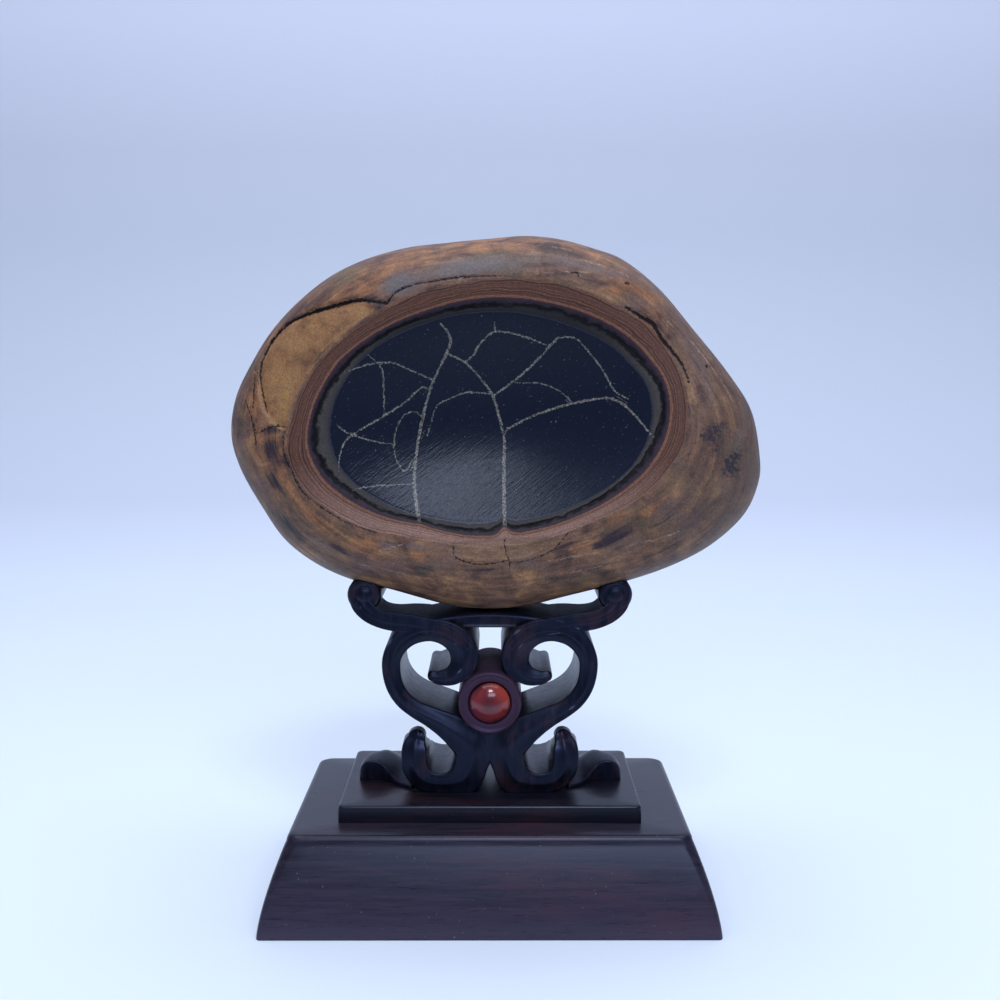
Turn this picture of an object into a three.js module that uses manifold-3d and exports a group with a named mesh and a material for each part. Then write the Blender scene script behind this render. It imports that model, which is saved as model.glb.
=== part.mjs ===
// A scholars rock on its stand: a polished-eye river stone held in a carved dark-wood cradle on a two-tier plinth.
// Millimetres. X runs to the right, Y away from the viewer, Z up. The origin is the centre of the plinth's underside.

import * as THREE from 'three';
import { mergeVertices } from 'three/addons/utils/BufferGeometryUtils.js';
import Module from 'manifold-3d';

const wasm = await Module();
wasm.setup();

// Lower tier of the plinth
const BASE_TOP_WIDTH = 93.2;
const BASE_TOP_DEPTH = 59.2;
const BASE_HEIGHT = 21.9;
const BASE_FLARE_X = 6.65; // how far the foot stands out past the top at the ends
const BASE_FLARE_Y = 7.75; // and in front and behind
const BASE_FLARE_POWER = 1.45; // above 1 the side bulges: steep at the foot, leaning in towards the top
const BASE_CORNER_RADIUS = 2.6;
const BASE_EDGE = 1.0; // rounding of the top edge
const BASE_FOOT_EDGE = 0.2; // the bottom edge is hardly broken

// Upper tier
const STEP_WIDTH = 72.2;
const STEP_DEPTH = 44.8;
const STEP_HEIGHT = 4.1;
const STEP_SETBACK = 0.8; // the tier sits this far behind the middle of the plinth
const STEP_CORNER_RADIUS = 1.0;
const STEP_EDGE = 0.4;
const STEP_TOP = BASE_HEIGHT + STEP_HEIGHT;

// Carved support
const SCROLL_FOOT = STEP_TOP + 0.1; // the foot is cut flat just clear of the tier
const SECTION_BEVEL = 1.0;
const INNER_SLOPE = 1.3; // how far the front falls back towards the inside of a curl
const ARM_BACK_DROP = 1.0; // the arms are pared down behind their front ridge
const BULB_X = 30.3;
const BULB_Z = 74.9;
const BULB_RADIUS = 4.15;
const BULB_HALF_DEPTH = 11.4;
const BOSS_Z = 48.9;
const BOSS_RADIUS = 7.75;
const BOSS_HALF_DEPTH = 14;
const SEAT_RADIUS = 5.1;
const SEAT_DEPTH = 3.2;
const COLLAR_RADIUS = 8.9; // round the boss the legs are cut back to a plane
const COLLAR_DEPTH = 12.35; // this far before the middle
const SADDLE_HALF_WIDTH = 11;
const SADDLE_HALF_DEPTH = 10;
const SADDLE_BOTTOM = 66.6;
const SADDLE_TOP = 70.4;
const WEB = { width: 5, halfDepth: 11.9, bottom: 36.5, top: 43 }; // fills the notch between the legs and the boss

// Agate bead in the boss
const BEAD_RADIUS = 4.85;
const BEAD_DOME_RADIUS = 6.2;
const BEAD_GIRDLE = 0.5; // how far the bead's widest line sits below the face of the boss
const CLEARANCE = 0.3; // gap kept between pieces that touch

// Stone
const STONE_EYE_X = 0.2; // centre of the polished eye
const STONE_EYE_Z = 118.1;
const EYE_HALF_WIDTH = 41.9;
const EYE_HALF_HEIGHT = 26.7;
const EYE_TILT = THREE.MathUtils.degToRad(7);
const FRONT_SWELL = 21.4; // height of the front before the dish is hollowed out of it
const FRONT_POWER = 7; // the higher, the blunter the rim
const BACK_SWELL = 20.5;
const BACK_POWER = 3.2;
const EDGE_POWER = 1 / 2.2;
const DISH_DEPTH = 9;
const DISH_REACH = 1.36; // the dish ends this many eye radii out
const EYE_STEP = 0.45; // the eye lies this much below the banded ring round it
const PATCH_SINK = 0.9; // and the ochre patch this much below the rind
const PATCH_SLOPE = 1.6; // width of the ledge between them
const LUMP_HEIGHT = 0.45;
const STONE_SLICES = 68;

// The stone's outline seen from the front, clockwise from the left
const STONE_OUTLINE = [
  [-63.2, 113.2], [-61.8, 122.6], [-57.2, 131.8], [-52.4, 139.0], [-46.0, 145.7], [-38.4, 151.5],
  [-30.0, 155.5], [-19.9, 158.3], [-9.8, 159.5], [-0.5, 160.4], [8.7, 161.1], [16.9, 160.3],
  [25.1, 158.1], [32.4, 155.3], [41.0, 148.5], [49.2, 139.0], [58.0, 128.3], [63.9, 119.0],
  [66.2, 107.8], [65.9, 101.1], [62.6, 93.6], [55.3, 86.6], [46.7, 81.7], [35.4, 77.5],
  [18.4, 73.1], [8.9, 70.8], [-0.5, 70.1], [-10.1, 71.0], [-24.3, 74.9], [-34.7, 77.6],
  [-43.2, 81.6], [-50.5, 87.4], [-56.0, 95.5], [-61.0, 104.7],
];
// The ochre patch at the upper left of the eye, where a flake of the rind has come away and left a ledge
const PATCH_OUTLINE = [
  [-26.2, 142.9], [-30.7, 145.2], [-37.8, 144.2], [-44.8, 141.0], [-50.2, 137.4], [-53.3, 132.1],
  [-54.2, 125.0], [-52.8, 119.6], [-49.7, 116.0], [-47.0, 115.4], [-46.0, 120.6], [-42.0, 128.7],
  [-36.7, 134.9], [-29.6, 140.2],
];

// Left half of the carved support; the right half mirrors it. Each row is x, z, width across the ribbon, and how far
// the front face lies before the middle plane and the back face behind it.
// From the end of the curl over the crown, down the flank, under the boss, round the foot and up to the leaf's tip
const S_RIBBON = [
  [-13.9, 55.1, 2.5, 12.2, 12.0], [-12.2, 54.7, 3.3, 12.7, 12.6], [-9.2, 55.3, 4.6, 13, 13],
  [-6.8, 57.5, 6.2, 13, 13], [-6.2, 60.4, 6.9, 13, 13], [-7.4, 63.4, 6.9, 13, 13], [-10.6, 65.7, 6.3, 13, 13],
  [-14.6, 66.5, 5.8, 13, 13], [-18.9, 65.5, 5.5, 13, 13], [-22.0, 63.0, 5.0, 13, 13], [-23.7, 59.6, 4.5, 13, 13],
  [-23.8, 56.0, 4.3, 13, 13], [-22.9, 52.4, 4.1, 13, 13], [-20.9, 49.3, 4.0, 13, 13], [-17.9, 46.9, 4.1, 13, 13],
  [-14.5, 45.1, 4.8, 13, 13], [-10.8, 43.0, 6.2, 13, 13], [-6.9, 40.3, 8.2, 13, 13], [-4.0, 37.2, 9.6, 13, 13],
  [-4.6, 33.0, 8.3, 13, 13], [-6.5, 29.5, 8.6, 13, 13], [-11.0, 28.4, 5.4, 13, 13], [-15.5, 28.9, 5.8, 12.8, 12.8],
  [-18.1, 31.6, 6.3, 12.6, 10], [-18.6, 34.8, 6.3, 12.3, 4.5], [-18.4, 37.3, 5.9, 11.7, -1.5],
  [-18.0, 39.0, 4.4, 10.6, -4.8],
];
// From the bulb in along the cradle, along the crown's outer edge and down to the boss
const ARM_RIBBON = [
  [-31.9, 74.8, 4.4, 11.6, 11.0], [-31.0, 72.6, 4.8, 11.8, 11.2], [-29.2, 70.7, 4.6, 12.2, 11.6],
  [-26.6, 69.4, 4.5, 12.6, 12.0], [-23.4, 68.7, 4.6, 13, 12.4], [-19.4, 68.3, 4.4, 13, 12.6],
  [-14.7, 67.5, 4.0, 13, 12.6], [-10.9, 66.7, 3.6, 13, 12.6], [-7.9, 65.0, 3.2, 13, 12.6],
  [-5.5, 62.3, 2.8, 13, 12.6],
];
// The hollow scooped along the top of both arms, behind their front ridge. Each row is x, the height of the ridge in
// front, of the hollow half way back, and of the back edge.
const TROUGH = [
  [-28.4, 73.4, 71.0, 70.6], [-26.6, 71.5, 69.3, 68.9], [-23.5, 70.9, 68.7, 68.2], [-18.8, 70.3, 68.6, 68.4],
  [-13.9, 69.5, 68.1, 67.9], [-9.5, 68.1, 67.1, 67.0], [0, 67.6, 66.9, 66.9],
];
const TROUGH_FRONT = -12.3;
// The low outer leaf, from its tip in to the foot. Each row is x, the front foot's y, the front ridge's y and z, the
// hump's y and z, and the back's y.
const OUTER_LEAF = [
  [-33.0, -1.1, -1.3, 27.2, 0.8, 27.4, 2.4], [-32.5, -1.9, -2.3, 29.5, 1.2, 29.8, 4.0],
  [-30.7, -2.2, -2.9, 31.0, 2.4, 31.4, 6.0], [-28.2, -2.1, -2.9, 31.0, 4.0, 31.9, 7.8],
  [-26.4, -2.4, -3.4, 29.8, 4.8, 31.9, 8.8], [-24.6, -4.2, -4.9, 28.2, 4.8, 31.2, 9.2],
  [-22.6, -6.6, -6.9, 27.0, 4.0, 30.2, 9.6], [-19.5, -8.6, -8.9, 26.7, 3.0, 29.8, 9.6],
];
const LEAF_LOW = 24; // the leaf's section reaches below the level where the foot is cut flat
const RIBBON_STEPS_PER_ROW = 2;

const wood = { color: 0x1d1716, roughness: 0.42, metalness: 0 };
const stone = { color: 0x7a5236, roughness: 0.55, metalness: 0 };
const agate = { color: 0x8e2f2a, roughness: 0.12, metalness: 0 };

// A closed skin over rings of points with equal counts, with a fan over the first and the last ring
function skin(rings) {
  const perRing = rings[0].length;
  const points = rings.flat();
  const faces = [];
  for (let i = 0; i < rings.length - 1; i += 1) {
    for (let j = 0; j < perRing; j += 1) {
      const a = i * perRing + j;
      const b = i * perRing + ((j + 1) % perRing);
      faces.push(a, b, a + perRing, b, b + perRing, a + perRing);
    }
  }
  for (const last of [false, true]) {
    const ring = last ? rings[rings.length - 1] : rings[0];
    const start = last ? points.length - perRing : 0;
    const middle = ring.reduce((sum, point) => sum.add(point), new THREE.Vector3()).divideScalar(perRing);
    const centre = last ? points.length + 1 : points.length;
    for (let j = 0; j < perRing; j += 1) {
      const a = start + j;
      const b = start + ((j + 1) % perRing);
      faces.push(...(last ? [a, b, centre] : [b, a, centre]));
    }
    ring.middle = middle;
  }
  points.push(rings[0].middle, rings[rings.length - 1].middle);
  const geometry = new THREE.BufferGeometry().setFromPoints(points);
  geometry.setIndex(faces);
  return facingOut(geometry);
}

// Six times the volume, with its sign: negative when the faces point inwards
function signedVolume(geometry) {
  const position = geometry.getAttribute('position');
  const index = geometry.getIndex();
  const corners = [new THREE.Vector3(), new THREE.Vector3(), new THREE.Vector3()];
  let total = 0;
  for (let i = 0; i < index.count; i += 3) {
    corners.forEach((corner, k) => corner.fromBufferAttribute(position, index.getX(i + k)));
    total += corners[0].dot(corners[1].cross(corners[2]));
  }
  return total;
}

function facingOut(geometry) {
  if (signedVolume(geometry) < 0) {
    const index = geometry.getIndex();
    for (let i = 0; i < index.count; i += 3) {
      const first = index.getX(i);
      index.setX(i, index.getX(i + 1));
      index.setX(i + 1, first);
    }
  }
  return geometry;
}

function toSolid(geometry) {
  const bare = geometry.clone();
  bare.deleteAttribute('normal');
  bare.deleteAttribute('uv');
  const merged = facingOut(mergeVertices(bare, 1e-4));
  return new wasm.Manifold(new wasm.Mesh({
    numProp: 3,
    vertProperties: new Float32Array(merged.getAttribute('position').array),
    triVerts: new Uint32Array(merged.getIndex().array),
  }));
}

function toGeometry(solid) {
  const mesh = solid.getMesh();
  const geometry = new THREE.BufferGeometry();
  geometry.setAttribute('position', new THREE.BufferAttribute(mesh.vertProperties, 3));
  geometry.setIndex(new THREE.BufferAttribute(mesh.triVerts, 1));
  return geometry;
}

function piece(name, geometry, look) {
  geometry.computeVertexNormals();
  const mesh = new THREE.Mesh(geometry, new THREE.MeshStandardMaterial(look));
  mesh.name = name;
  return mesh;
}

// A rectangle with round corners, as a ring of points at height z
function roundedRing(width, depth, radius, z, middleY) {
  const steps = 4;
  const ring = [];
  for (let corner = 0; corner < 4; corner += 1) {
    const signX = corner === 0 || corner === 3 ? 1 : -1;
    const signY = corner < 2 ? 1 : -1;
    for (let i = 0; i <= steps; i += 1) {
      const angle = (corner + i / steps) * Math.PI / 2;
      ring.push(new THREE.Vector3(
        signX * (width / 2 - radius) + radius * Math.cos(angle),
        middleY + signY * (depth / 2 - radius) + radius * Math.sin(angle),
        z,
      ));
    }
  }
  return ring;
}

// The lower tier: its side swells outwards between a narrow top and a wide foot
function baseBlock() {
  const ringAt = (z, inset) => {
    const part = 1 - (z / BASE_HEIGHT) ** BASE_FLARE_POWER;
    const width = BASE_TOP_WIDTH + 2 * (BASE_FLARE_X * part - inset);
    const depth = BASE_TOP_DEPTH + 2 * (BASE_FLARE_Y * part - inset);
    return roundedRing(width, depth, BASE_CORNER_RADIUS, z, 0);
  };
  const rings = [ringAt(0, BASE_FOOT_EDGE)];
  const levels = 7;
  for (let i = 0; i <= levels; i += 1) {
    rings.push(ringAt(BASE_FOOT_EDGE + (BASE_HEIGHT - BASE_FOOT_EDGE - BASE_EDGE) * i / levels, 0));
  }
  rings.push(ringAt(BASE_HEIGHT - 0.3 * BASE_EDGE, 0.3 * BASE_EDGE), ringAt(BASE_HEIGHT, BASE_EDGE));
  return skin(rings);
}

// The upper tier: a plate with its edges broken
function stepPlate() {
  const rings = [
    [BASE_HEIGHT, 0], [STEP_TOP - STEP_EDGE, 0], [STEP_TOP - 0.3 * STEP_EDGE, 0.3 * STEP_EDGE],
    [STEP_TOP, STEP_EDGE],
  ].map(([z, inset]) => roundedRing(
    STEP_WIDTH - 2 * inset, STEP_DEPTH - 2 * inset, STEP_CORNER_RADIUS, z, STEP_SETBACK,
  ));
  return skin(rings);
}

// One value of a Catmull-Rom curve between b and c
function blend(a, b, c, d, t) {
  return b + 0.5 * t * (c - a + t * (2 * a - 5 * b + 4 * c - d + t * (3 * (b - c) + d - a)));
}

// Rows of numbers made into a finer list of rows on a smooth curve through them
function smoothRows(rows, stepsPerRow, closed) {
  const count = rows.length;
  const at = (i) => (closed ? rows[(i + count) % count] : rows[Math.min(Math.max(i, 0), count - 1)]);
  const spans = closed ? count : count - 1;
  const fine = [];
  for (let i = 0; i < spans; i += 1) {
    for (let k = 0; k < stepsPerRow; k += 1) {
      fine.push(rows[i].map((_, n) => blend(at(i - 1)[n], at(i)[n], at(i + 1)[n], at(i + 2)[n], k / stepsPerRow)));
    }
  }
  if (!closed) {
    fine.push(rows[count - 1]);
  }
  return fine;
}

// A carved ribbon: a bevelled section carried along rows of x, z, width and half depth.
// The section's positive side is the left of the way along the path. innerSlope makes the faces fall back there,
// and backDrop pares the positive side down towards the rear.
function ribbon(rows, side, { innerSlope = 0, backDrop = 0 } = {}) {
  const path = smoothRows(rows, RIBBON_STEPS_PER_ROW, false);
  const rings = path.map(([x, z, width, front, back], i) => {
    const before = path[Math.max(i - 1, 0)];
    const after = path[Math.min(i + 1, path.length - 1)];
    const along = new THREE.Vector2(after[0] - before[0], after[1] - before[1]).normalize();
    const across = new THREE.Vector2(-along.y, along.x);
    const half = width / 2;
    const bevel = Math.min(SECTION_BEVEL, 0.3 * width);
    const fall = Math.min(innerSlope, 0.3 * width);
    const drop = Math.min(backDrop, 0.5 * width);
    const section = [
      [-half, -front + bevel], [-half + bevel, -front], [0, -front], [half - 0.4 * bevel, -front + fall],
      [half, -front + fall + 0.6 * bevel], [half - drop, back - fall - 0.6 * bevel],
      [half - drop - 0.4 * bevel, back - fall], [-0.5 * drop, back], [-half + bevel, back], [-half, back - bevel],
    ];
    return section.map(([u, y]) => new THREE.Vector3(side * (x + u * across.x), y, z + u * across.y));
  });
  return toSolid(skin(rings));
}

// The low leaf: a section standing on the level LEAF_LOW, with a ridge in front and a hump behind it, along X
function outerLeaf(side) {
  const rings = OUTER_LEAF.map(([x, footY, ridgeY, ridgeZ, topY, topZ, backY]) => [
    [footY, LEAF_LOW], [ridgeY, ridgeZ - 0.3], [ridgeY + 0.4, ridgeZ], [topY - 0.8, topZ], [topY + 1.2, topZ - 0.1],
    [backY - 0.6, topZ - 1.4], [backY + 0.2, topZ - 2.4], [backY + 0.3, LEAF_LOW],
  ].map(([y, z]) => new THREE.Vector3(side * x, y, z)));
  return toSolid(skin(rings));
}

// What is scooped out over both arms: everything above the hollow's section, from tip to tip
function troughCutter() {
  const right = TROUGH.slice(0, -1).reverse().map(([x, ...heights]) => [-x, ...heights]);
  const rings = [...TROUGH, ...right].map(([x, front, middle, back]) => [
    [TROUGH_FRONT, front], [TROUGH_FRONT + 1.6, front - 0.7 * (front - middle)], [-4, middle],
    [5, middle - 0.1], [BOSS_HALF_DEPTH + 1, back], [BOSS_HALF_DEPTH + 1, 82], [TROUGH_FRONT, 82],
  ].map(([y, z]) => new THREE.Vector3(x, y, z)));
  return toSolid(skin(rings));
}

// A turned shape about a line along Y at (x, z), from a profile of radius and y
function turned(profile, x, z, segments) {
  const geometry = new THREE.LatheGeometry(profile.map(([r, y]) => new THREE.Vector2(r, y)), segments);
  return geometry.translate(x, 0, z);
}

// A plain block on the middle plane, between two heights
function block(width, halfDepth, bottom, top) {
  const box = new THREE.BoxGeometry(width, 2 * halfDepth, top - bottom);
  return toSolid(box.translate(0, 0, (top + bottom) / 2));
}

function bulb(side) {
  const soft = 1.2;
  const profile = [
    [0, -BULB_HALF_DEPTH - 0.5], [0.45 * BULB_RADIUS, -BULB_HALF_DEPTH - 0.3],
    [BULB_RADIUS - soft, -BULB_HALF_DEPTH], [BULB_RADIUS, -BULB_HALF_DEPTH + soft],
    [BULB_RADIUS, BULB_HALF_DEPTH - soft], [BULB_RADIUS - soft, BULB_HALF_DEPTH],
    [0.45 * BULB_RADIUS, BULB_HALF_DEPTH + 0.3], [0, BULB_HALF_DEPTH + 0.5],
  ];
  return toSolid(turned(profile, side * BULB_X, BULB_Z, 18));
}

// The drum between the two halves, with a raised rim round the bead's seat in front
function boss() {
  const soft = 0.6;
  const rim = 0.5;
  return toSolid(turned([
    [0, -BOSS_HALF_DEPTH + rim], [BOSS_RADIUS - 1.4, -BOSS_HALF_DEPTH + rim],
    [BOSS_RADIUS - soft, -BOSS_HALF_DEPTH + 0.15], [BOSS_RADIUS, -BOSS_HALF_DEPTH + soft + 0.4],
    [BOSS_RADIUS, BOSS_HALF_DEPTH - soft], [BOSS_RADIUS - soft, BOSS_HALF_DEPTH], [0, BOSS_HALF_DEPTH],
  ], 0, BOSS_Z, 32));
}

// What is cut from the front round the boss's axis: everything within the radius before the plane at y
function frontCut(radius, y) {
  const before = -BOSS_HALF_DEPTH - 2;
  return toSolid(turned([[0, before], [radius, before], [radius, y], [0, y]], 0, BOSS_Z, 32));
}

// The bead: a low dome on a short girdle, its flat back clear of the bottom of the seat
function cabochon() {
  const girdle = -BOSS_HALF_DEPTH + BEAD_GIRDLE;
  const back = -BOSS_HALF_DEPTH + SEAT_DEPTH - CLEARANCE;
  const domeCentre = girdle + Math.sqrt(BEAD_DOME_RADIUS ** 2 - BEAD_RADIUS ** 2);
  const steps = 6;
  const sweep = Math.asin(BEAD_RADIUS / BEAD_DOME_RADIUS);
  const profile = [];
  for (let i = 0; i <= steps; i += 1) {
    const angle = sweep * i / steps;
    profile.push([BEAD_DOME_RADIUS * Math.sin(angle), domeCentre - BEAD_DOME_RADIUS * Math.cos(angle)]);
  }
  profile.push([BEAD_RADIUS, back], [0, back]);
  return toGeometry(toSolid(turned(profile, 0, BOSS_Z, 32)));
}

// How far inside a closed outline a point lies; negative outside
function depthInside(x, z, outline) {
  let nearest = Infinity;
  let inside = false;
  outline.forEach(([x1, z1], i) => {
    const [x2, z2] = outline[(i + 1) % outline.length];
    const along = ((x - x1) * (x2 - x1) + (z - z1) * (z2 - z1)) / ((x2 - x1) ** 2 + (z2 - z1) ** 2);
    const part = THREE.MathUtils.clamp(along, 0, 1);
    nearest = Math.min(nearest, Math.hypot(x - x1 - part * (x2 - x1), z - z1 - part * (z2 - z1)));
    if ((z1 > z) !== (z2 > z) && x < x1 + (x2 - x1) * (z - z1) / (z2 - z1)) {
      inside = !inside;
    }
  });
  return inside ? nearest : -nearest;
}

// The stone as rings about a line through the eye: rings spread from the eye's centre over the dish and the rim to
// the outline, then close over the domed back.
function stoneGeometry() {
  const outline = smoothRows(STONE_OUTLINE, 8, true);
  const angleOf = ([x, z]) => Math.atan2(z - STONE_EYE_Z, x - STONE_EYE_X);
  const rays = Array.from({ length: STONE_SLICES }, (_, k) => {
    const angle = k / STONE_SLICES * 2 * Math.PI - Math.PI;
    const off = (point) => Math.abs(Math.atan2(Math.sin(angleOf(point) - angle), Math.cos(angleOf(point) - angle)));
    const near = outline.reduce((best, point) => (off(point) < off(best) ? point : best));
    const reach = Math.hypot(near[0] - STONE_EYE_X, near[1] - STONE_EYE_Z);
    const turnedAngle = angle - EYE_TILT;
    const eye = 1 / Math.hypot(Math.cos(turnedAngle) / EYE_HALF_WIDTH, Math.sin(turnedAngle) / EYE_HALF_HEIGHT);
    return { angle, reach, eye };
  });
  const lump = (angle, part) => LUMP_HEIGHT * (
    Math.sin(3 * angle + 1) + 0.7 * Math.sin(7 * angle + 2.4) + 0.5 * Math.sin(11 * angle + 5 * part)
  ) * THREE.MathUtils.smoothstep(part, 0.66, 0.8);
  const frontPoint = ({ angle, reach, eye }, radius) => {
    const part = Math.min(radius / reach, 1);
    const swell = FRONT_SWELL * (1 - part ** FRONT_POWER) ** EDGE_POWER;
    const dish = DISH_DEPTH * Math.max(0, 1 - (radius / (DISH_REACH * eye)) ** 2) ** 2;
    const step = radius <= eye ? EYE_STEP : 0;
    const x = STONE_EYE_X + radius * Math.cos(angle);
    const z = STONE_EYE_Z + radius * Math.sin(angle);
    const sink = PATCH_SINK * THREE.MathUtils.smoothstep(depthInside(x, z, PATCH_OUTLINE), 0, PATCH_SLOPE);
    return -(swell - dish - step - sink) + lump(angle, part) * (1 - part);
  };
  const backPoint = ({ angle }, part) => (
    BACK_SWELL * (1 - part ** BACK_POWER) ** EDGE_POWER - lump(angle, part) * (1 - part)
  );
  const at = (ray, radius, y) => new THREE.Vector3(
    STONE_EYE_X + radius * Math.cos(ray.angle), y, STONE_EYE_Z + radius * Math.sin(ray.angle),
  );
  const dishSteps = [0.12, 0.3, 0.5, 0.7, 0.85, 1];
  const rimSteps = [0.05, 0.18, 0.32, 0.46, 0.58, 0.69, 0.78, 0.86, 0.92, 0.96, 0.985, 0.997, 1];
  const backSteps = [0.996, 0.98, 0.95, 0.9, 0.83, 0.74, 0.62, 0.48, 0.32, 0.15];
  const rings = [
    ...dishSteps.map((step) => rays.map((ray) => at(ray, step * ray.eye, frontPoint(ray, step * ray.eye)))),
    ...rimSteps.map((step) => rays.map((ray) => {
      const radius = ray.eye + (ray.reach - ray.eye) * step;
      return at(ray, radius, frontPoint(ray, radius));
    })),
    ...backSteps.map((step) => rays.map((ray) => at(ray, step * ray.reach, backPoint(ray, step)))),
  ];
  return skin(rings);
}

// The same surface moved outwards along its normals
function grown(geometry, distance) {
  const larger = geometry.clone();
  larger.computeVertexNormals();
  const position = larger.getAttribute('position');
  const normal = larger.getAttribute('normal');
  for (let i = 0; i < position.count; i += 1) {
    position.setXYZ(
      i,
      position.getX(i) + distance * normal.getX(i),
      position.getY(i) + distance * normal.getY(i),
      position.getZ(i) + distance * normal.getZ(i),
    );
  }
  return larger;
}

// The carved support: the scrolls and arms are joined, hollowed along the top and cut back round the boss; then come
// the bulbs, the leaves, the saddle and the boss, and the whole is cut to fit the bead, the stone and the tier
function carvedScroll(stoneShape) {
  const sides = [1, -1];
  const add = (solids) => solids.reduce((all, solid) => all.add(solid));
  const ribbons = add(sides.flatMap((side) => [
    ribbon(S_RIBBON, side, { innerSlope: INNER_SLOPE }),
    ribbon(ARM_RIBBON, side, { backDrop: ARM_BACK_DROP }),
  ]));
  const carved = add([
    ribbons.add(block(WEB.width, WEB.halfDepth, WEB.bottom, WEB.top)).subtract(troughCutter())
      .subtract(frontCut(COLLAR_RADIUS, -COLLAR_DEPTH)),
    ...sides.flatMap((side) => [bulb(side), outerLeaf(side)]),
    block(2 * SADDLE_HALF_WIDTH, SADDLE_HALF_DEPTH, SADDLE_BOTTOM, SADDLE_TOP),
    boss(),
  ]);
  const below = block(BASE_TOP_WIDTH, BASE_TOP_DEPTH, 0, SCROLL_FOOT);
  const bed = toSolid(grown(stoneShape, CLEARANCE));
  const seat = frontCut(SEAT_RADIUS, -BOSS_HALF_DEPTH + SEAT_DEPTH);
  return toGeometry(carved.subtract(bed).subtract(seat).subtract(below));
}

const stoneShape = stoneGeometry();

const group = new THREE.Group();
group.add(
  piece('base_block', baseBlock(), wood),
  piece('step_plate', stepPlate(), wood),
  piece('carved_scroll', carvedScroll(stoneShape), wood),
  piece('cabochon', cabochon(), agate),
  piece('stone', stoneShape, stone),
);

export default group;
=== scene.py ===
# A scholars rock on its stand: a river pebble of banded ironstone with a dished, polished dark eye, held in
# a cradle carved from blackwood, with a red agate bead, on a two-tier plinth.
import functools
import math

import bpy
import numpy as np
from bpy.props import FloatProperty, FloatVectorProperty, PointerProperty
from mathutils import Matrix, Vector


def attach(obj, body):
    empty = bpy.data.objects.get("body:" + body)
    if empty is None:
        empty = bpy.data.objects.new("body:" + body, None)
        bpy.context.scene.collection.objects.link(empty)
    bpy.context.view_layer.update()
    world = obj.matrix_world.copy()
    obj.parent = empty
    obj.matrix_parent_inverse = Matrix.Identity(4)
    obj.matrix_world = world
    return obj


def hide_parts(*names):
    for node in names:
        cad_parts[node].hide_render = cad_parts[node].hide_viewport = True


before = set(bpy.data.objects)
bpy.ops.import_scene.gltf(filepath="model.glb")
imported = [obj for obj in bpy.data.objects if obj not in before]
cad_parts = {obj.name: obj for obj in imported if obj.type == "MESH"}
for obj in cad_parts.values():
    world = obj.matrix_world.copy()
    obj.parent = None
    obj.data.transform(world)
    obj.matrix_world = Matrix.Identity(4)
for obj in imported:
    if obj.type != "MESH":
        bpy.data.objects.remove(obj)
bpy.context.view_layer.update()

bl_info = {
    "name": "Scholars Rock",
    "version": (1, 0, 0),
    "blender": (4, 5, 0),
    "location": "3D Viewport > Sidebar > Rock",
    "description": "Builds a banded river stone with a polished eye in its carved blackwood stand",
    "category": "Object",
}

MM = 0.001
BODY = "root"

# Lengths below are millimetres: X to the right, Y away from the viewer, Z up from the plinth's underside.

# Stone: the outline seen from the front, clockwise from the left
STONE_OUTLINE = np.array([
    (-63.2, 113.2), (-61.8, 122.6), (-57.2, 131.8), (-52.4, 139.0), (-46.0, 145.7), (-38.4, 151.5),
    (-30.0, 155.5), (-19.9, 158.3), (-9.8, 159.5), (-0.5, 160.4), (8.7, 161.1), (16.9, 160.3),
    (25.1, 158.1), (32.4, 155.3), (41.0, 148.5), (49.2, 139.0), (58.0, 128.3), (63.9, 119.0),
    (66.2, 107.8), (65.9, 101.1), (62.6, 93.6), (55.3, 86.6), (46.7, 81.7), (35.4, 77.5),
    (18.4, 73.1), (8.9, 70.8), (-0.5, 70.1), (-10.1, 71.0), (-24.3, 74.9), (-34.7, 77.6),
    (-43.2, 81.6), (-50.5, 87.4), (-56.0, 95.5), (-61.0, 104.7),
])
EYE_CENTRE = np.array([0.2, 118.1])
FRONT_POWER = 7.0
BACK_POWER = 3.2
EDGE_POWER = 1 / 2.2
DISH_REACH = 1.36
EYE_STEP = 0.45
CORE_LAYER = 4  # a layer counts as this wide inside the core's edge
RIND_LAYER = 10  # and as this wide outside the banding
OUTLINE_SHRINK = 0.998  # keeps the finished skin just inside the solid
STONE_COLUMNS = 500
CORE_ROWS = 76
RING_ROWS = 54
RIND_ROWS = 40
BACK_ROWS = 28
BACK_SPACING = 1.9  # the back's rows lie closer together towards the outline
BACK_SINK = 0.4  # the back is set this far in at the outline
CORE_START = 0.02  # share of the core's radius at which its first row lies
RING_START = -5.8  # the rings round the eye lie between these two offsets from its oval
RING_END = 8.8
# Plane waves in the rind, in its finest relief and in the back: length and height
RIND_LUMPS = [(38, 0.35), (27, 0.3), (17, 0.2), (11, 0.12)]
FINE_LUMPS = [(6.1, 0.05), (4.3, 0.04), (3.1, 0.03)]
BACK_LUMPS = [(44, 0.4), (31, 0.35), (19, 0.25), (12, 0.15)]
GROOVE_LAYER = 1.12  # the ragged groove lies here among the layers
GROOVE_WIDTH = 0.14
GROOVE_DEPTH = 0.15  # everywhere, and so much more where it is most ragged
GROOVE_RAGGED = 0.5
PATCH_DEPTH = 0.8
FLAKE_DEPTH = 0.25
CRACK_LEAST = 0.05  # no crack is narrower
BACK_LAYER = 6  # the back counts as rind, and lies far from every line and patch
FAR_AWAY = 9
# The space in which the streaks' noise is read: its radius round the stone, its length from the eye's oval
# to the outline and on to the back's middle, and the place in it of the level streaks across the back
FLOW_ROUND = 12
FLOW_ACROSS = 18
FLOW_BEHIND = 14
FLOW_LEVEL = 30.0
HARD_ANGLE = math.radians(38)  # edges that turn by more stay hard

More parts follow.
